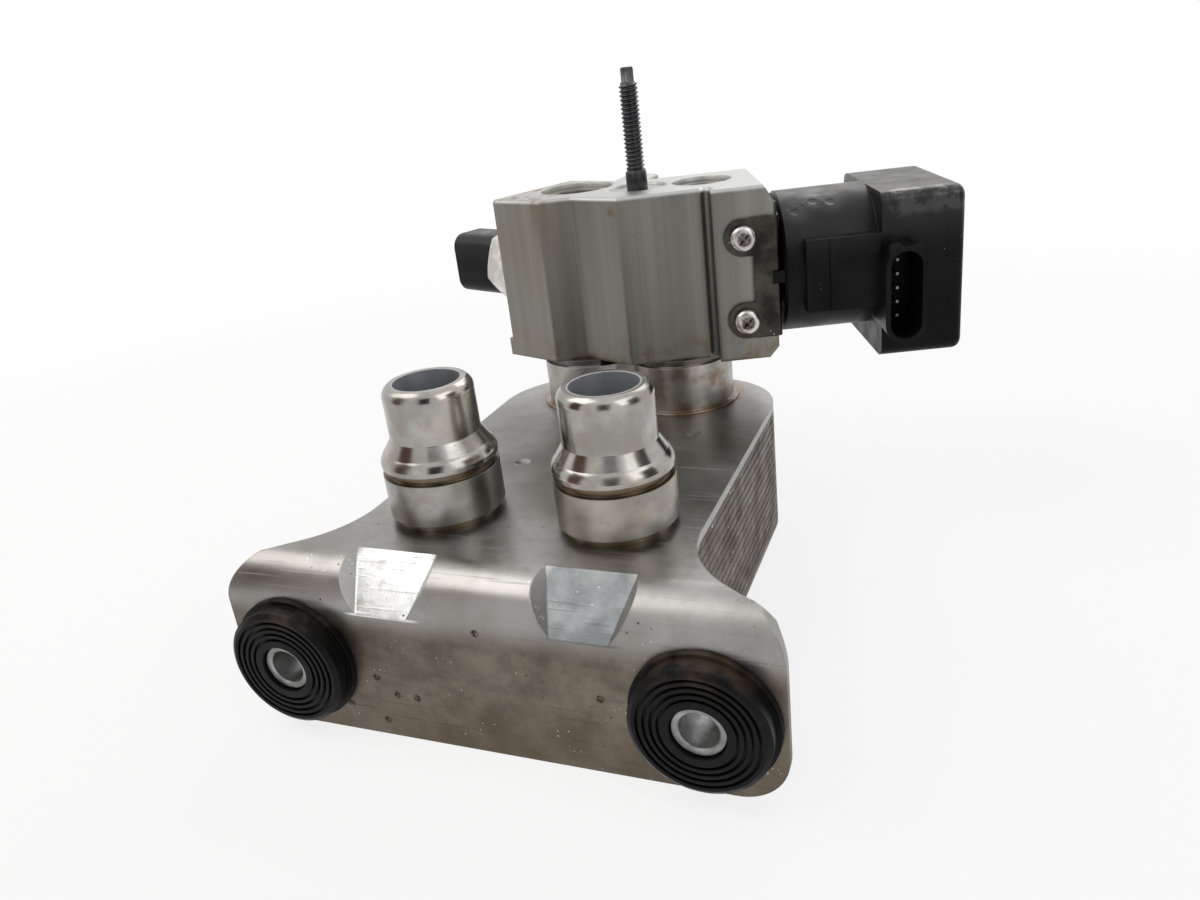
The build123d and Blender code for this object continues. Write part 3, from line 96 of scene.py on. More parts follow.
# Where a finish changes along an axis, and where painted shade, shadow and reflection do, from and to
FLANGE_DULL_AND_REFLECTION_Z = (-10, -19)
FLANGE_BROWN_Z = (-51, -26)
CORE_SPECKS_Y = (0, 60)
SPIGOT_GROOVE_Z = (14.2, 16.2)
SPIGOT_FOOT_SHADOW_Z = (-1, 2)
SPIGOT_BURNISHED_Z = (13.5, 17)
NECK_BRAZE_Z = (-1, 0.9)
NECK_GAP_SHADE_Z = (15.7, 16.3)
BLOCK_MILLED_Z = (70.5, 71.5)
BLOCK_LEFT_X = (-34, -8)
BLOCK_UPPER_Z = (44, 72)
BLOCK_FOOT_Z = (18, 30)
HOUSING_TOP_Z = (64.5, 66.2)
HOUSING_GLOSS_Z = (46, 62)
GROMMET_RIM_Z = (-19, -12.5)

# Places that stains and marks gather at, and the darts' painted highlight and shade
NECK_RIGHT = (15.7, 93.5, 0)
NECK_LEFT = (-15.7, 93.5, 0)
NECK_STAIN = (27, 80, 6)
DART_LEFT = (-27.5, -31.7, -6.3)
DART_RIGHT = (27.5, -31.7, -6.3)
FLANGE_DROPS = (
    (-33.0, -38, -31.9),
    (-27.5, -38, -36.6),
    (-43.4, -38, -41.8),
    (-32.6, -38, -45.7),
    (-21.6, -38, -36.8),
    (-0.2, -38, -13.6),
    (31.3, -38, -28.1),
)
BARREL_DENTS = ((66.7, 98.9, 63.4), (61.4, 97.8, 63.9), (56.8, 92.7, 61.8))
HEAD_WET = ((89.2, 93.6, 64.5), (93.9, 95.3, 64.5), (98.6, 97.1, 64.5), (103.2, 98.8, 64.5))
SCREW_HEADS = ((44.2, 77.0, 57), (44.2, 77.0, 31))
BLOCK_STAINS = ((-18.6, 75, 66.7), (-14.5, 75, 62.9), (-13.9, 75, 54.3), (3.6, 75, 67.3))

# The slanted facets of the darts lie where Z less Y is this, and their painted highlight and shade end
# beside it
DART_SLOPE = 25.5
DART_FACET_FADE = (0.2, 0.5)

# Pipe stud: shank, thread and six-lobe end are drawn as one skin
STUD_THREAD = MOUNTS["pipe_stud_thread"]
STUD_AT = [v / MM for v in STUD_THREAD["pos_m"][:2]]
STUD_CREST_R = STUD_THREAD["dims"]["r_mm"]
STUD_FOOT = 70.0
STUD_SHANK_R = 3.4
STUD_SHANK_TOP = 76.6
STUD_SHANK_EDGE = 0.4
STUD_ROOT_R = 2.42
STUD_PITCH = 1.3
STUD_THREAD_TOP = 103.4
STUD_DRIVE_R = 2.1
STUD_DRIVE_DEPTH = 0.34
STUD_DRIVE_FOOT = 104.2
STUD_LOBES = 6
STUD_TOP = 108.5
STUD_CHAMFER = 0.35
STUD_CHAMFER_H = 0.3
STUD_POINTS = 48
STUD_RINGS_A_TURN = 10
# A flank takes up two thirds of its half of the pitch, between flat root and flat crest
STUD_FLANK_SLOPE = 1.5
STUD_FLANK_START = 0.25


class Surface:
    """A node material with short helpers for what most finishes share."""

    def __init__(self, name, metallic=0.0):
        self.material = bpy.data.materials.new(name)
        self.material.use_nodes = True
        self.tree = self.material.node_tree
        self.shader = self.tree.nodes["Principled BSDF"]
        self.shader.inputs["Metallic"].default_value = metallic
        self.place = self.tree.nodes.new("ShaderNodeTexCoord").outputs["Object"]
        self.normal = None

    def link(self, a, b):
        self.tree.links.new(a, b)

    def set(self, socket, value):
        """Feed a socket with a link or with a plain value."""
        if isinstance(value, bpy.types.NodeSocket):
            self.link(value, socket)
        else:
            socket.default_value = value

    def stretched(self, x, y, z, turn=(0, 0, 0)):
        node = self.tree.nodes.new("ShaderNodeMapping")
        node.inputs["Scale"].default_value = (x, y, z)
        node.inputs["Rotation"].default_value = turn
        self.link(self.place, node.inputs["Vector"])
        return node.outputs["Vector"]

    def noise(self, scale, detail=3, place=None, roughness=0.55):
        node = self.tree.nodes.new("ShaderNodeTexNoise")
        node.inputs["Scale"].default_value = scale
        node.inputs["Detail"].default_value = detail
        node.inputs["Roughness"].default_value = roughness
        self.link(place or self.place, node.inputs["Vector"])
        return node.outputs["Fac"]

    def cells(self, scale):
        node = self.tree.nodes.new("ShaderNodeTexVoronoi")
        node.inputs["Scale"].default_value = scale
        self.link(self.place, node.inputs["Vector"])
        return node.outputs["Distance"]

    def axis(self, name):
        node = self.tree.nodes.new("ShaderNodeSeparateXYZ")
        self.link(self.place, node.inputs["Vector"])
        return node.outputs[name]

    def spread(self, value, low, high, to_low=0.0, to_high=1.0):
        """Map a range of values to another with a smooth step, clamped."""
        node = self.tree.nodes.new("ShaderNodeMapRange")
        node.interpolation_type = "SMOOTHSTEP"
        node.inputs["From Min"].default_value = low
        node.inputs["From Max"].default_value = high
        node.inputs["To Min"].default_value = to_low
        node.inputs["To Max"].default_value = to_high
        self.link(value, node.inputs["Value"])
        return node.outputs["Result"]

    def ramp(self, axis, ends, to_low=0.0, to_high=1.0):
        """Change from one value to another between two places along an axis, in millimetres."""
        return self.spread(self.axis(axis), ends[0] * MM, ends[1] * MM, to_low, to_high)

    def math(self, operation, a, b=0.0):
        node = self.tree.nodes.new("ShaderNodeMath")
        node.operation = operation
        self.set(node.inputs[0], a)
        self.set(node.inputs[1], b)
        return node.outputs[0]

    def mix(self, factor, a, b):
        node = self.tree.nodes.new("ShaderNodeMix")
        node.data_type = "RGBA"
        self.set(node.inputs[0], factor)
        for socket, value in ((node.inputs[6], a), (node.inputs[7], b)):
            self.set(socket, value if isinstance(value, bpy.types.NodeSocket) else (*value, 1))
        return node.outputs[2]

    def colour(self, value):
        self.set(self.shader.inputs["Base Color"], value)

    def rough(self, value):
        self.set(self.shader.inputs["Roughness"], value)

    def sheen(self, value):
        """How strongly a non-metal mirrors."""
        self.set(self.shader.inputs["Specular IOR Level"], value)

    def soften(self, radius_mm):
        """Round the light on sharp edges."""
        node = self.tree.nodes.new("ShaderNodeBevel")
        node.samples = 6
        node.inputs["Radius"].default_value = radius_mm * MM
        self.normal = node.outputs["Normal"]
        self.link(self.normal, self.shader.inputs["Normal"])

    def bump(self, height, depth_mm, strength=1.0):
        node = self.tree.nodes.new("ShaderNodeBump")
        node.inputs["Strength"].default_value = strength
        node.inputs["Distance"].default_value = depth_mm * MM
        self.link(height, node.inputs["Height"])
        if self.normal is not None:
            self.link(self.normal, node.inputs["Normal"])
        self.normal = node.outputs["Normal"]
        self.link(self.normal, self.shader.inputs["Normal"])


def near(surface, centre, reach, core=0.35):
    """1 at a place in the part's frame and 0 beyond its reach, both in millimetres."""
    node = surface.tree.nodes.new("ShaderNodeVectorMath")
    node.operation = "DISTANCE"
    surface.link(surface.place, node.inputs[0])
    node.inputs[1].default_value = [v * MM for v in centre]
    return surface.spread(node.outputs["Value"], core * reach * MM, reach * MM, 1, 0)


def near_any(surface, places, reach, core=0.35):
    """near() for several places at once."""
    total = near(surface, places[0], reach, core)
    for place in places[1:]:
        total = surface.math("MAXIMUM", total, near(surface, place, reach, core))
    return total


def band(surface, axis, ends, fade):
    """1 between two places along an axis, fading out over a margin, in millimetres."""
    low, high = ends
    value = surface.axis(axis)
    rise = surface.spread(value, (low - fade) * MM, low * MM)
    fall = surface.spread(value, high * MM, (high + fade) * MM, 1, 0)
    return surface.math("MULTIPLY", rise, fall)


def pits(surface, scale, size, patch, share):
    """Small dots that come in patches, as a mask."""
    dots = surface.spread(surface.cells(scale), size, 1.6 * size, 1, 0)
    return surface.math("MULTIPLY", dots, surface.spread(surface.noise(patch, 3), share, share + 0.08))


def scratches(surface, count, width, turn):
    """Thin lines that run one way, as a mask."""
    place = surface.stretched(count * 0.03, count, count, turn)
    lines = surface.noise(1.0, 2, place)
    return surface.spread(lines, 0.5 + width, 0.5 + 2 * width)


def dart_facet(surface):
    """1 on the slanted plane of the darts' facets."""
    slope = surface.math("SUBTRACT", surface.axis("Z"), surface.axis("Y"))
    off = surface.math("ABSOLUTE", surface.math("SUBTRACT", slope, DART_SLOPE * MM))
    return surface.spread(off, DART_FACET_FADE[0] * MM, DART_FACET_FADE[1] * MM, 1, 0)


def sheet_aluminium():
    """The bent plate: brushed on top; on the flange matt and browner, where its darker colour is a
    painted reflection of the ground.
    """
    s = Surface("sheet_aluminium", metallic=1.0)
    s.soften(0.5)
    cloud = s.spread(s.noise(24, 6), 0.34, 0.68)
    fine = s.spread(s.noise(190, 5), 0.42, 0.7)
    tone = s.mix(cloud, (0.285, 0.272, 0.255), (0.4, 0.39, 0.375))
    tone = s.mix(s.math("MULTIPLY", fine, 0.35), tone, (0.22, 0.2, 0.175))
    # The flange is rougher than the top, its colour is darker there as a painted reflection of the brown
    # ground in front, and browner towards its lower edge
    flange = s.ramp("Z", FLANGE_DULL_AND_REFLECTION_Z)
    mottle = s.spread(s.noise(48, 7, roughness=0.68), 0.34, 0.66)
    painted_ground_reflection = s.mix(mottle, (0.095, 0.074, 0.052), (0.215, 0.18, 0.14))
    tone = s.mix(s.math("MULTIPLY", flange, 0.9), tone, painted_ground_reflection)
    low = s.ramp("Z", FLANGE_BROWN_Z, 1, 0)
    low = s.math("MULTIPLY", low, s.spread(s.noise(36, 6), 0.34, 0.62, 0.3, 1))
    tone = s.mix(s.math("MULTIPLY", low, 0.6), tone, (0.11, 0.078, 0.052))
    # Brown rings of flux round the refrigerant neck
    flux_left = s.math("MULTIPLY", near(s, NECK_LEFT, 23, 0.75), 0.6)
    flux = s.math("MAXIMUM", near(s, NECK_RIGHT, 25, 0.7), flux_left)
    flux = s.math("MULTIPLY", flux, s.spread(s.noise(75, 6), 0.36, 0.6))
    tone = s.mix(s.math("MULTIPLY", flux, 0.8), tone, (0.2, 0.12, 0.06))
    # Drops have dried on the flange, and one on its bend
    broken = s.spread(s.noise(900, 4), 0.36, 0.56, 0.1, 0.95)
    drops = s.math("MULTIPLY", near_any(s, FLANGE_DROPS, 1.5, 0.5), broken)
    tone = s.mix(drops, tone, (0.045, 0.022, 0.01))
    # The facets of the two pressed darts: the left one smoother and painted bright as a painted
    # highlight, the right one chalky and painted dull as painted shade
    facet = dart_facet(s)
    left_facet = s.math("MULTIPLY", facet, near(s, DART_LEFT, 15, 0.8))
    right_facet = s.math("MULTIPLY", facet, near(s, DART_RIGHT, 15, 0.8))
    painted_highlight = s.mix(s.spread(s.noise(210, 5), 0.3, 0.5), (0.55, 0.56, 0.54), (0.76, 0.78, 0.77))
    tone = s.mix(left_facet, tone, painted_highlight)
    chalk_and_painted_shade = s.mix(s.spread(s.noise(130, 5), 0.35, 0.7), (0.16, 0.172, 0.176), (0.26, 0.275, 0.275))
    tone = s.mix(right_facet, tone, chalk_and_painted_shade)
    tone = s.mix(pits(s, 300, 0.07, 55, 0.5), tone, (0.09, 0.055, 0.035))
    tone = s.mix(s.math("MULTIPLY", pits(s, 620, 0.09, 80, 0.55), 0.8), tone, (0.7, 0.69, 0.66))
    s.colour(tone)
    along = scratches(s, 900, 0.1, (0, 0, 0.05))
    across = scratches(s, 700, 0.13, (0, 0, 1.3))
    marks = s.math("MAXIMUM", along, across)
    rough = s.spread(s.noise(45, 5), 0.3, 0.7, 0.27, 0.42)
    rough = s.math("ADD", rough, s.math("MULTIPLY", flange, 0.1))
    rough = s.math("SUBTRACT", rough, s.math("MULTIPLY", left_facet, 0.08))
    s.rough(s.math("ADD", rough, s.math("MULTIPLY", marks, 0.16)))
    s.bump(s.noise(1.0, 3, s.stretched(240, 2600, 2600)), 0.02, 0.35)
    s.bump(marks, 0.03, 0.6)
    s.bump(s.noise(70, 3), 0.25, 0.18)
    s.bump(s.noise(640, 3), 0.04, 0.3)
    return s.material


def core_aluminium():
    """The plate pack: brown and mottled, with white specks towards its front."""
    s = Surface("core_aluminium", metallic=0.8)
    s.soften(0.6)
    cloud = s.spread(s.noise(60, 7, roughness=0.66), 0.34, 0.66)
    tone = s.mix(cloud, (0.075, 0.055, 0.038), (0.165, 0.145, 0.122))
    front = s.ramp("Y", CORE_SPECKS_Y, 1, 0.25)
    specks = s.math("MULTIPLY", pits(s, 300, 0.12, 95, 0.5), front)
    tone = s.mix(s.math("MULTIPLY", specks, 0.9), tone, (0.72, 0.71, 0.68))
    s.colour(s.mix(pits(s, 240, 0.09, 60, 0.54), tone, (0.07, 0.045, 0.03)))
    s.rough(s.spread(s.noise(150, 4), 0.3, 0.7, 0.4, 0.66))
    s.bump(s.noise(420, 4), 0.16, 0.5)
    s.bump(s.noise(110, 4), 0.5, 0.4)
    return s.material


def spigot_bore(surface):
    """1 inside the bores of the two coolant spigots, whose axes stand along Z at Y 0."""
    across = surface.math("SUBTRACT", surface.math("ABSOLUTE", surface.axis("X")), SPIGOT_X * MM)
    along = surface.axis("Y")
    across_squared = surface.math("MULTIPLY", across, across)
    along_squared = surface.math("MULTIPLY", along, along)
    radius = surface.math("SQRT", surface.math("ADD", across_squared, along_squared))
    inner, outer = (SPIGOT_BORE_R + fade for fade in SPIGOT_BORE_FADE)
    return surface.spread(radius, inner * MM, outer * MM, 1, 0)


def turned_aluminium():
    """The coolant spigots."""
    s = Surface("turned_aluminium", metallic=1.0)
    s.soften(0.3)
    tone = s.mix(s.spread(s.noise(90, 5), 0.35, 0.7), (0.3, 0.285, 0.26), (0.44, 0.43, 0.405))
    warm = s.spread(s.noise(46, 4), 0.5, 0.66, 0, 0.4)
    tone = s.mix(warm, tone, (0.52, 0.42, 0.34))
    # Darker in the groove under the bead, and painted shadow round the foot
    groove = s.math("MULTIPLY", band(s, "Z", SPIGOT_GROOVE_Z, 0.5), 0.85)
    foot = s.math("MULTIPLY", band(s, "Z", SPIGOT_FOOT_SHADOW_Z, 0.7), 0.85)
    foot = s.math("MULTIPLY", foot, s.spread(s.noise(120, 4), 0.3, 0.55, 0.45, 1))
    tone = s.mix(s.math("MAXIMUM", groove, foot), tone, (0.12, 0.08, 0.04))
    smear = s.spread(s.noise(140, 6), 0.52, 0.7, 0, 0.4)
    tone = s.mix(smear, tone, (0.26, 0.22, 0.17))
    tone = s.mix(pits(s, 500, 0.07, 120, 0.56), tone, (0.15, 0.1, 0.07))
    # The bore is bright but rough
    bore = spigot_bore(s)
    s.colour(s.mix(bore, tone, (0.42, 0.43, 0.45)))
    # The base ring is a coarse turning; the tube and cone are burnished
    base = s.ramp("Z", SPIGOT_BURNISHED_Z, 0.3, 0.19)
    rough = s.math("ADD", base, s.spread(s.noise(60, 5), 0.35, 0.75, -0.02, 0.12))
    s.rough(s.math("ADD", rough, s.math("MULTIPLY", bore, 0.35)))
    s.bump(s.noise(1.0, 2, s.stretched(30, 30, 5200)), 0.02, 0.4)
    s.bump(s.noise(240, 3), 0.08, 0.14)
    return s.material


def neck_aluminium():
    """The refrigerant neck, tinted where it was brazed."""
    s = Surface("neck_aluminium", metallic=1.0)
    s.soften(0.4)
    tone = s.mix(s.spread(s.noise(80, 6), 0.35, 0.68), (0.29, 0.27, 0.24), (0.46, 0.445, 0.42))
    brown = s.math("MULTIPLY", near(s, NECK_STAIN, 20), s.spread(s.noise(110, 6), 0.42, 0.62))
    tone = s.mix(s.math("MULTIPLY", brown, 0.75), tone, (0.22, 0.13, 0.07))
    # Golden braze at the foot
    braze = s.math("MULTIPLY", band(s, "Z", NECK_BRAZE_Z, 1.1), s.spread(s.noise(90, 4), 0.35, 0.6))
    tone = s.mix(s.math("MULTIPLY", braze, 0.6), tone, (0.2, 0.12, 0.055))
    # Painted shade in the gap under the valve block
    gap = s.ramp("Z", NECK_GAP_SHADE_Z)
    s.colour(s.mix(s.math("MULTIPLY", gap, 0.7), tone, (0.05, 0.045, 0.04)))
    s.rough(s.spread(s.noise(150, 5), 0.3, 0.7, 0.26, 0.48))
    s.bump(s.noise(1.0, 2, s.stretched(60, 60, 2400)), 0.03, 0.4)
    return s.material


def block_aluminium():
    """The valve block: extruded sides with lines along Z, and milled faces."""
    s = Surface("block_aluminium", metallic=1.0)
    s.soften(1.6)
    lines = s.noise(1.0, 4, s.stretched(800, 800, 8))
    bands = s.noise(1.0, 3, s.stretched(150, 150, 3))
    tone = s.mix(s.spread(bands, 0.35, 0.68), (0.21, 0.205, 0.182), (0.29, 0.285, 0.255))
    tone = s.mix(s.spread(lines, 0.38, 0.7, 0, 0.4), tone, (0.2, 0.19, 0.165))
    # The top face and its milled rims are brighter than the extruded sides
    milled = s.ramp("Z", BLOCK_MILLED_Z)
    tone = s.mix(s.math("MULTIPLY", milled, 0.8), tone, (0.52, 0.52, 0.5))
    # Dried brown drips near the top left edge, and grime along the foot
    drips = s.spread(s.noise(1.0, 4, s.stretched(240, 240, 22)), 0.5, 0.64)
    left = s.ramp("X", BLOCK_LEFT_X, 1, 0)
    upper = s.ramp("Z", BLOCK_UPPER_Z)
    stain = s.math("MULTIPLY", s.math("MULTIPLY", upper, left), drips)
    foot = s.ramp("Z", BLOCK_FOOT_Z, 1, 0)
    foot = s.math("MULTIPLY", foot, s.spread(s.noise(150, 5), 0.46, 0.64))
    brown = s.math("MAXIMUM", s.math("MULTIPLY", stain, 0.75), s.math("MULTIPLY", foot, 0.6))
    broken = s.spread(s.noise(300, 4), 0.35, 0.6, 0.1, 0.7)
    spots = s.math("MULTIPLY", near_any(s, BLOCK_STAINS, 2.6, 0.3), broken)
    tone = s.mix(s.math("MAXIMUM", brown, spots), tone, (0.17, 0.1, 0.045))
    film = s.math("MULTIPLY", left, s.spread(s.noise(40, 5), 0.35, 0.62, 0.1, 0.45))
    tone = s.mix(film, tone, (0.23, 0.2, 0.155))
    s.colour(s.mix(s.math("MULTIPLY", pits(s, 260, 0.06, 60, 0.54), 0.8), tone, (0.15, 0.09, 0.055)))
    s.rough(s.spread(bands, 0.3, 0.7, 0.38, 0.5))
    s.bump(lines, 0.03, 0.5)
    s.bump(scratches(s, 1100, 0.12, (0.3, 0.2, 1.0)), 0.02, 0.4)
    s.bump(s.noise(520, 3), 0.02, 0.25)
    return s.material


def brushed(name, colour, roughness, streak):
    """Plain machined or stamped metal; its grain is drawn out along the axis of the least scale."""
    s = Surface(name, metallic=1.0)
    s.soften(0.2)
    dark = tuple(v * 0.72 for v in colour)
    bright = tuple(min(1.0, v * 1.12) for v in colour)
    s.colour(s.mix(s.spread(s.noise(180, 6), 0.35, 0.68), dark, bright))
    s.rough(s.spread(s.noise(240, 5), 0.3, 0.7, roughness - 0.07, roughness + 0.12))
    s.bump(s.noise(1.0, 3, s.stretched(*streak)), 0.015, 0.4)
    return s.material


def black_plastic():
    """The actuator's and the sensor's mouldings: dusty on top, wet with oil in places."""
    s = Surface("black_plastic")
    s.soften(0.35)
    tone = s.mix(s.spread(s.noise(55, 5), 0.4, 0.7), (0.004, 0.004, 0.005), (0.011, 0.011, 0.012))
    # Dust lies on what faces up, and light specks cling to the sides
    top = s.ramp("Z", HOUSING_TOP_Z)
    dust = s.math("MULTIPLY", top, s.spread(s.noise(160, 6), 0.3, 0.7, 0.35, 1))
    tone = s.mix(s.math("MULTIPLY", dust, 0.8), tone, (0.05, 0.044, 0.037))
    s.colour(s.mix(s.math("MULTIPLY", pits(s, 520, 0.06, 75, 0.56), 0.8), tone, (0.3, 0.28, 0.25)))
    # Oil has left wet patches: along the head's upper front edge and round the barrel's dents
    runs = s.spread(s.noise(260, 4), 0.38, 0.52)
    wet = s.math("MULTIPLY", near_any(s, HEAD_WET, 6.5, 0.6), runs)
    wet = s.math("MAXIMUM", wet, s.math("MULTIPLY", near_any(s, BARREL_DENTS, 6, 0.3), 0.7))
    s.rough(s.spread(s.noise(130, 4), 0.3, 0.7, 0.28, 0.44))
    # The mouldings' upper parts are glossier than what lies below
    s.sheen(s.ramp("Z", HOUSING_GLOSS_Z, 0.1, 0.34))
    s.set(s.shader.inputs["Coat Weight"], s.math("MULTIPLY", wet, 0.8))
    s.shader.inputs["Coat Roughness"].default_value = 0.09
    s.bump(s.noise(900, 2), 0.03, 0.35)
    s.bump(s.math("MULTIPLY", s.spread(s.noise(230, 2), 0.5, 0.62), wet), 0.3, 0.5)
    s.bump(s.math("SUBTRACT", 1.0, near_any(s, BARREL_DENTS, 1.7, 0.4)), 0.7, 1.0)
    return s.material


def grommet_rubber():
    s = Surface("grommet_rubber")
    s.sheen(0.14)
    s.soften(0.3)
    film = s.spread(s.noise(150, 6), 0.48, 0.74, 0, 0.4)
    tone = s.mix(film, (0.004, 0.004, 0.004), (0.015, 0.0145, 0.014))
    # Brown dust on the rim that looks up
    upper = s.ramp("Z", GROMMET_RIM_Z)
    dust = s.math("MULTIPLY", upper, s.spread(s.noise(130, 6), 0.4, 0.66))
    s.colour(s.mix(s.math("MULTIPLY", dust, 0.7), tone, (0.085, 0.06, 0.04)))
    s.rough(s.spread(s.noise(200, 4), 0.3, 0.7, 0.3, 0.5))
    s.bump(s.noise(700, 3), 0.05, 0.4)
    return s.material


def stainless_sheet():
    """The clamp: painted dark as a painted reflection of dark surroundings, smeared and finely brushed,
    with bright specks.
    """
    s = Surface("stainless_sheet", metallic=1.0)
    s.soften(0.3)
    # The dark tones are a painted reflection of dark surroundings, mottled with smears
    smear = s.spread(s.noise(85, 6, roughness=0.62), 0.36, 0.64)
    tone = s.mix(smear, (0.022, 0.019, 0.016), (0.07, 0.063, 0.054))
    s.colour(s.mix(pits(s, 420, 0.08, 90, 0.55), tone, (0.45, 0.42, 0.38)))
    s.rough(s.spread(s.noise(240, 5), 0.3, 0.7, 0.16, 0.34))
    s.bump(s.noise(1.0, 3, s.stretched(60, 60, 1800)), 0.015, 0.4)
    return s.material


def screw_steel():
    """Bright pan heads with rust in the cross recess."""
    s = Surface("screw_steel", metallic=1.0)
    s.soften(0.2)
    tone = s.mix(s.spread(s.noise(260, 5), 0.35, 0.68), (0.44, 0.41, 0.38), (0.68, 0.67, 0.65))
    broken = s.spread(s.noise(420, 4), 0.3, 0.55, 0.35, 0.85)
    rust = s.math("MULTIPLY", near_any(s, SCREW_HEADS, 2.6, 0.7), broken)
    s.colour(s.mix(rust, tone, (0.035, 0.013, 0.008)))
    s.rough(s.spread(s.noise(240, 5), 0.3, 0.7, 0.2, 0.36))
    s.bump(s.noise(900, 3), 0.015, 0.4)
    return s.material


def plain(name, colour, metallic, roughness, scale):
    """Hidden or small pieces: tone and roughness vary a little."""
    s = Surface(name, metallic)
    dark = tuple(v * 0.7 for v in colour)
    s.colour(s.mix(s.spread(s.noise(scale, 5), 0.35, 0.68), dark, colour))
    s.rough(s.spread(s.noise(scale * 1.7, 4), 0.3, 0.7, roughness - 0.06, roughness + 0.1))
    s.bump(s.noise(scale * 4, 3), 0.02, 0.35)
    return s.material


def winding():
    """The coils' copper wire."""
    s = Surface("coil_copper", metallic=1.0)
    s.rough(0.3)
    turns = s.noise(1.0, 1, s.stretched(2400, 2400, 2400))
    s.colour(s.mix(s.spread(turns, 0.4, 0.6), (0.5, 0.22, 0.1), (0.82, 0.45, 0.24)))
    s.bump(turns, 0.1, 0.6)
    return s.material


MATERIALS = {
    "sheet_aluminium": sheet_aluminium(),
    "core_aluminium": core_aluminium(),
    "turned_aluminium": turned_aluminium(),
    "neck_aluminium": neck_aluminium(),
    "block_aluminium": block_aluminium(),
    "stainless_sheet": stainless_sheet(),
    "screw_steel": screw_steel(),
    "black_steel": brushed("black_steel", (0.085, 0.085, 0.09), 0.34, (900, 900, 300)),
    "sleeve_steel": brushed("sleeve_steel", (0.34, 0.345, 0.34), 0.46, (900, 300, 900)),
    "sensor_metal": brushed("sensor_metal", (0.72, 0.7, 0.66), 0.38, (500, 500, 500)),
    "black_plastic": black_plastic(),
    "grommet_rubber": grommet_rubber(),
    "seal_rubber": plain("seal_rubber", (0.03, 0.035, 0.03), 0.0, 0.45, 300),
    "valve_steel": brushed("valve_steel", (0.62, 0.62, 0.62), 0.24, (900, 900, 900)),
    "valve_brass": plain("valve_brass", (0.78, 0.58, 0.28), 1.0, 0.28, 200),
    "coil_copper": winding(),
    "yoke_iron": plain("yoke_iron", (0.4, 0.4, 0.4), 1.0, 0.4, 200),
    "rotor_ferrite": plain("rotor_ferrite", (0.1, 0.1, 0.1), 0.4, 0.5, 300),
    "board_green": plain("board_green", (0.03, 0.2, 0.08), 0.0, 0.35, 200),
    "contact_tin": plain("contact_tin", (0.3, 0.29, 0.27), 1.0, 0.35, 500),
    "sensor_ceramic": plain("sensor_ceramic", (0.85, 0.84, 0.8), 0.0, 0.4, 200),
}


def dress_nodes():
    """Give each CAD node the finish of its material slot."""
    slots = {entry["node"]: entry["material_slot"] for entry in frame["record"]["subparts"]}
    for name, node in frame["nodes"].items():
        node.data.materials.clear()
        node.data.materials.append(MATERIALS[slots[name]])


def stud_radius(z, angle):
    """Radius of the stud's skin at a height and angle: shank, thread, then six lobes."""
    if z < STUD_SHANK_TOP:
        return STUD_SHANK_R
    if z > STUD_DRIVE_FOOT:
        return STUD_DRIVE_R - STUD_DRIVE_DEPTH * (0.5 - 0.5 * math.cos(STUD_LOBES * angle))
    turn = (z / STUD_PITCH - angle / (2 * math.pi)) % 1.0
    flank = 1 - abs(2 * turn - 1)
    flank = min(1.0, max(0.0, STUD_FLANK_SLOPE * flank - STUD_FLANK_START))
    crest = STUD_ROOT_R + (STUD_CREST_R - STUD_ROOT_R) * flank
    start = min(1.0, (z - STUD_SHANK_TOP) / STUD_PITCH)
    end = min(1.0, max(0.0, (STUD_DRIVE_FOOT - z) / (STUD_DRIVE_FOOT - STUD_THREAD_TOP)))
    crest = STUD_SHANK_R + (crest - STUD_SHANK_R) * start
    return STUD_DRIVE_R + (crest - STUD_DRIVE_R) * end


def stud_heights():
    """Heights of the skin's rings: close together in the thread, sparse in the plain stretches."""
    heights = [STUD_FOOT, STUD_SHANK_TOP - STUD_SHANK_EDGE, STUD_SHANK_TOP - 0.02]
    z = STUD_SHANK_TOP
    while z < STUD_DRIVE_FOOT:
        heights.append(z)
        z += STUD_PITCH / STUD_RINGS_A_TURN
    return heights + [STUD_DRIVE_FOOT + 0.01, STUD_TOP - 0.5, STUD_TOP - STUD_CHAMFER_H / 2, STUD_TOP]


def build_stud():
    """The stud as one closed skin of stacked rings."""
    heights = stud_heights()
    verts = []
    for z in heights:
        chamfer = STUD_CHAMFER * max(0.0, z - STUD_TOP + STUD_CHAMFER_H) / STUD_CHAMFER_H
        for k in range(STUD_POINTS):
            angle = 2 * math.pi * k / STUD_POINTS
            r = stud_radius(z, angle) - chamfer
            x = STUD_AT[0] + r * math.cos(angle)
            y = STUD_AT[1] + r * math.sin(angle)
            verts.append((x * MM, y * MM, z * MM))
    faces = []
    for row in range(len(heights) - 1):
        for k in range(STUD_POINTS):
            a = row * STUD_POINTS + k
            b = row * STUD_POINTS + (k + 1) % STUD_POINTS
            faces.append((a, b, b + STUD_POINTS, a + STUD_POINTS))
    faces.append(tuple(reversed(range(STUD_POINTS))))
    top = (len(heights) - 1) * STUD_POINTS
    faces.append(tuple(range(top, top + STUD_POINTS)))
    mesh = bpy.data.meshes.new("stud_thread")
    mesh.from_pydata(verts, [], faces)
    mesh.validate()
    for face in mesh.polygons:
        face.use_smooth = len(face.vertices) == 4
    stud = bpy.data.objects.new("stud_thread", mesh)
    bpy.context.collection.objects.link(stud)
    mesh.materials.append(MATERIALS["black_steel"])
    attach(stud, "chiller")
    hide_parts("pipe_stud")


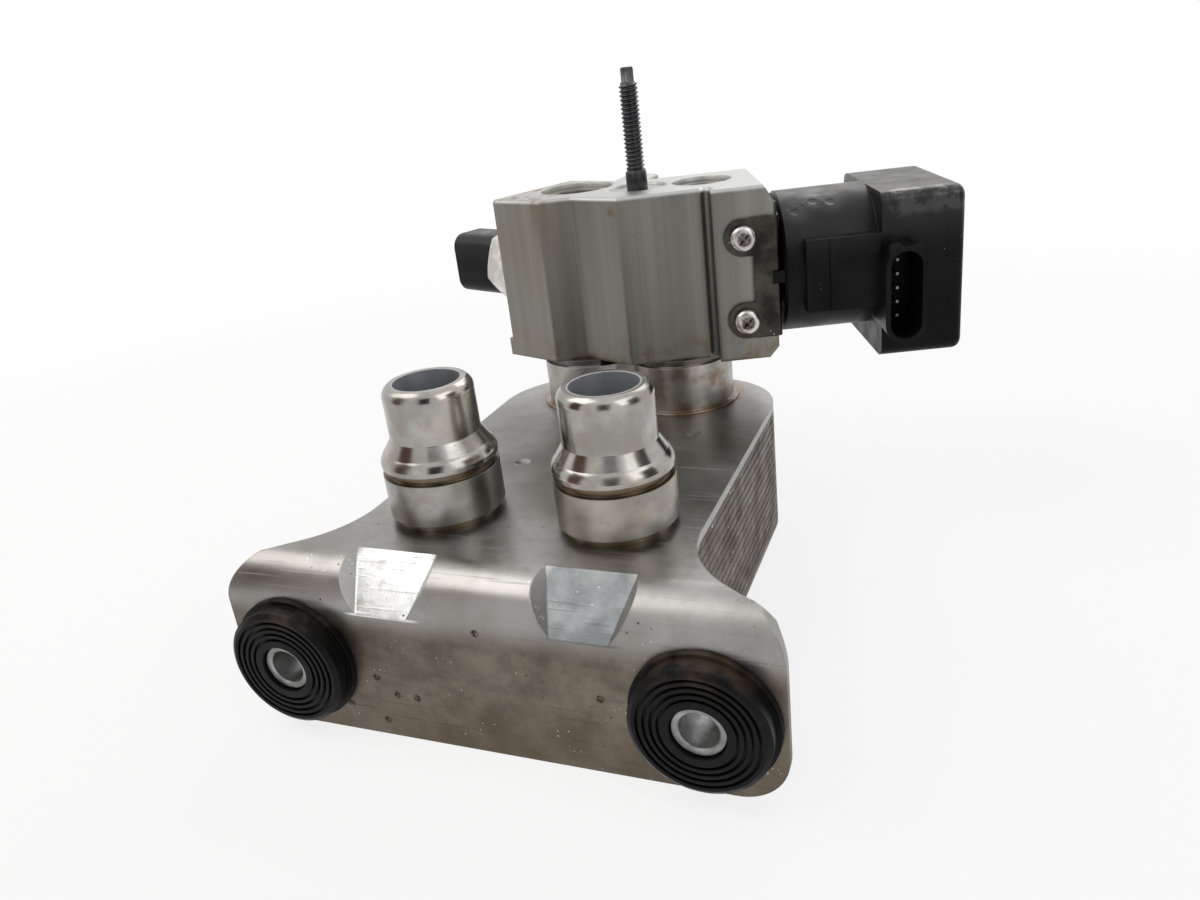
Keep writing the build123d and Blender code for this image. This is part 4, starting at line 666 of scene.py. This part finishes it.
def build_camera():
    """The photograph's camera, rolled about its line of sight."""
    yaw = math.radians(CAMERA_YAW)
    pitch = math.radians(CAMERA_PITCH)
    roll = math.radians(CAMERA_ROLL)
    ahead = Vector((-math.sin(yaw) * math.cos(pitch), math.cos(yaw) * math.cos(pitch), -math.sin(pitch)))
    right = ahead.cross(Vector((0, 0, 1))).normalized()
    up = right.cross(ahead)
    rolled_right = right * math.cos(roll) + up * math.sin(roll)
    rolled_up = up * math.cos(roll) - right * math.sin(roll)
    data = bpy.data.cameras.new("photo_camera")
    data.sensor_width = SENSOR_WIDTH
    data.sensor_fit = "HORIZONTAL"
    data.lens = SENSOR_WIDTH * FOCAL_PX / PHOTO_WIDTH
    data.clip_start = CLIP_START * MM
    camera = bpy.data.objects.new("photo_camera", data)
    turn = Matrix((rolled_right, rolled_up, -ahead)).transposed().to_4x4()
    camera.matrix_world = Matrix.Translation(CAMERA_AT * MM) @ turn
    bpy.context.collection.objects.link(camera)
    bpy.context.scene.camera = camera


def seen_directly(tree):
    """1 for rays that show the background: from the camera, a reflection or through glass."""
    path = tree.nodes.new("ShaderNodeLightPath")
    total = path.outputs["Is Camera Ray"]
    for name in ("Is Glossy Ray", "Is Transmission Ray"):
        node = tree.nodes.new("ShaderNodeMath")
        node.operation = "MAXIMUM"
        tree.links.new(total, node.inputs[0])
        tree.links.new(path.outputs[name], node.inputs[1])
        total = node.outputs[0]
    return total


def build_floor():
    """A pale floor that the part stands on, with its flange's lower edge and its pack's rear edge.

    It keeps the shadow near the part and turns into the white backdrop further out.
    """
    flange_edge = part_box("mounting_plate")[0]
    pack_low, pack_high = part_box("core_floor")
    tilt = math.atan2(pack_low.z - flange_edge.z, pack_high.y - flange_edge.y)
    bpy.ops.mesh.primitive_grid_add(x_subdivisions=2, y_subdivisions=2, size=FLOOR_SIZE)
    floor = bpy.context.object
    floor.name = "floor"
    floor.rotation_euler = (tilt, 0, 0)
    floor.location = (0, flange_edge.y, flange_edge.z - FLOOR_GAP)
    s = Surface("floor_white")
    s.colour((FLOOR_TONE, FLOOR_TONE, FLOOR_TONE, 1))
    s.rough(0.8)
    distance = s.tree.nodes.new("ShaderNodeVectorMath")
    distance.operation = "LENGTH"
    s.link(s.place, distance.inputs[0])
    fade = s.spread(distance.outputs["Value"], FLOOR_NEAR, FLOOR_FAR, FLOOR_GLOW)
    glow = s.tree.nodes.new("ShaderNodeEmission")
    glow.inputs["Strength"].default_value = 1.0
    blend = s.tree.nodes.new("ShaderNodeMixShader")
    s.link(s.math("MULTIPLY", fade, seen_directly(s.tree)), blend.inputs[0])
    s.link(s.shader.outputs[0], blend.inputs[1])
    s.link(glow.outputs[0], blend.inputs[2])
    s.link(blend.outputs[0], s.tree.nodes["Material Output"].inputs["Surface"])
    floor.data.materials.append(s.material)


def facing_part(at):
    """Rotation of a lamp or card at a place, so that it faces the part."""
    return (Vector(AIM) - Vector(at)).to_track_quat("-Z", "Y").to_euler()


def build_card(name, at, size, colour):
    bpy.ops.mesh.primitive_plane_add(size=1)
    card = bpy.context.object
    card.name = name
    card.scale = (size[0], size[1], 1)
    card.location = at
    card.rotation_euler = facing_part(at)
    card.visible_camera = False
    card.data.materials.append(plain(name + "_cloth", colour, 0.0, 0.9, 30))


def build_lamp(name, at, size, power, tint):
    data = bpy.data.lights.new(name, "AREA")
    data.shape = "RECTANGLE"
    data.size, data.size_y = size
    data.energy = power
    data.color = tint
    light = bpy.data.objects.new(name, data)
    light.location = at
    light.rotation_euler = facing_part(at)
    bpy.context.collection.objects.link(light)


def build_world():
    """White where the background is seen, and a lower level as light on the part."""
    world = bpy.data.worlds.new("studio")
    bpy.context.scene.world = world
    world.use_nodes = True
    tree = world.node_tree
    ground = tree.nodes["Background"]
    ground.inputs["Color"].default_value = (1, 1, 1, 1)
    strength = tree.nodes.new("ShaderNodeMapRange")
    strength.inputs["To Min"].default_value = WORLD_LEVEL
    tree.links.new(seen_directly(tree), strength.inputs["Value"])
    tree.links.new(strength.outputs["Result"], ground.inputs["Strength"])


dress_nodes()
build_stud()
build_camera()
build_floor()
build_world()
for lamp in LAMPS:
    build_lamp(*lamp)
for card in CARDS:
    build_card(*card)
bpy.context.scene.view_settings.view_transform = "Standard"
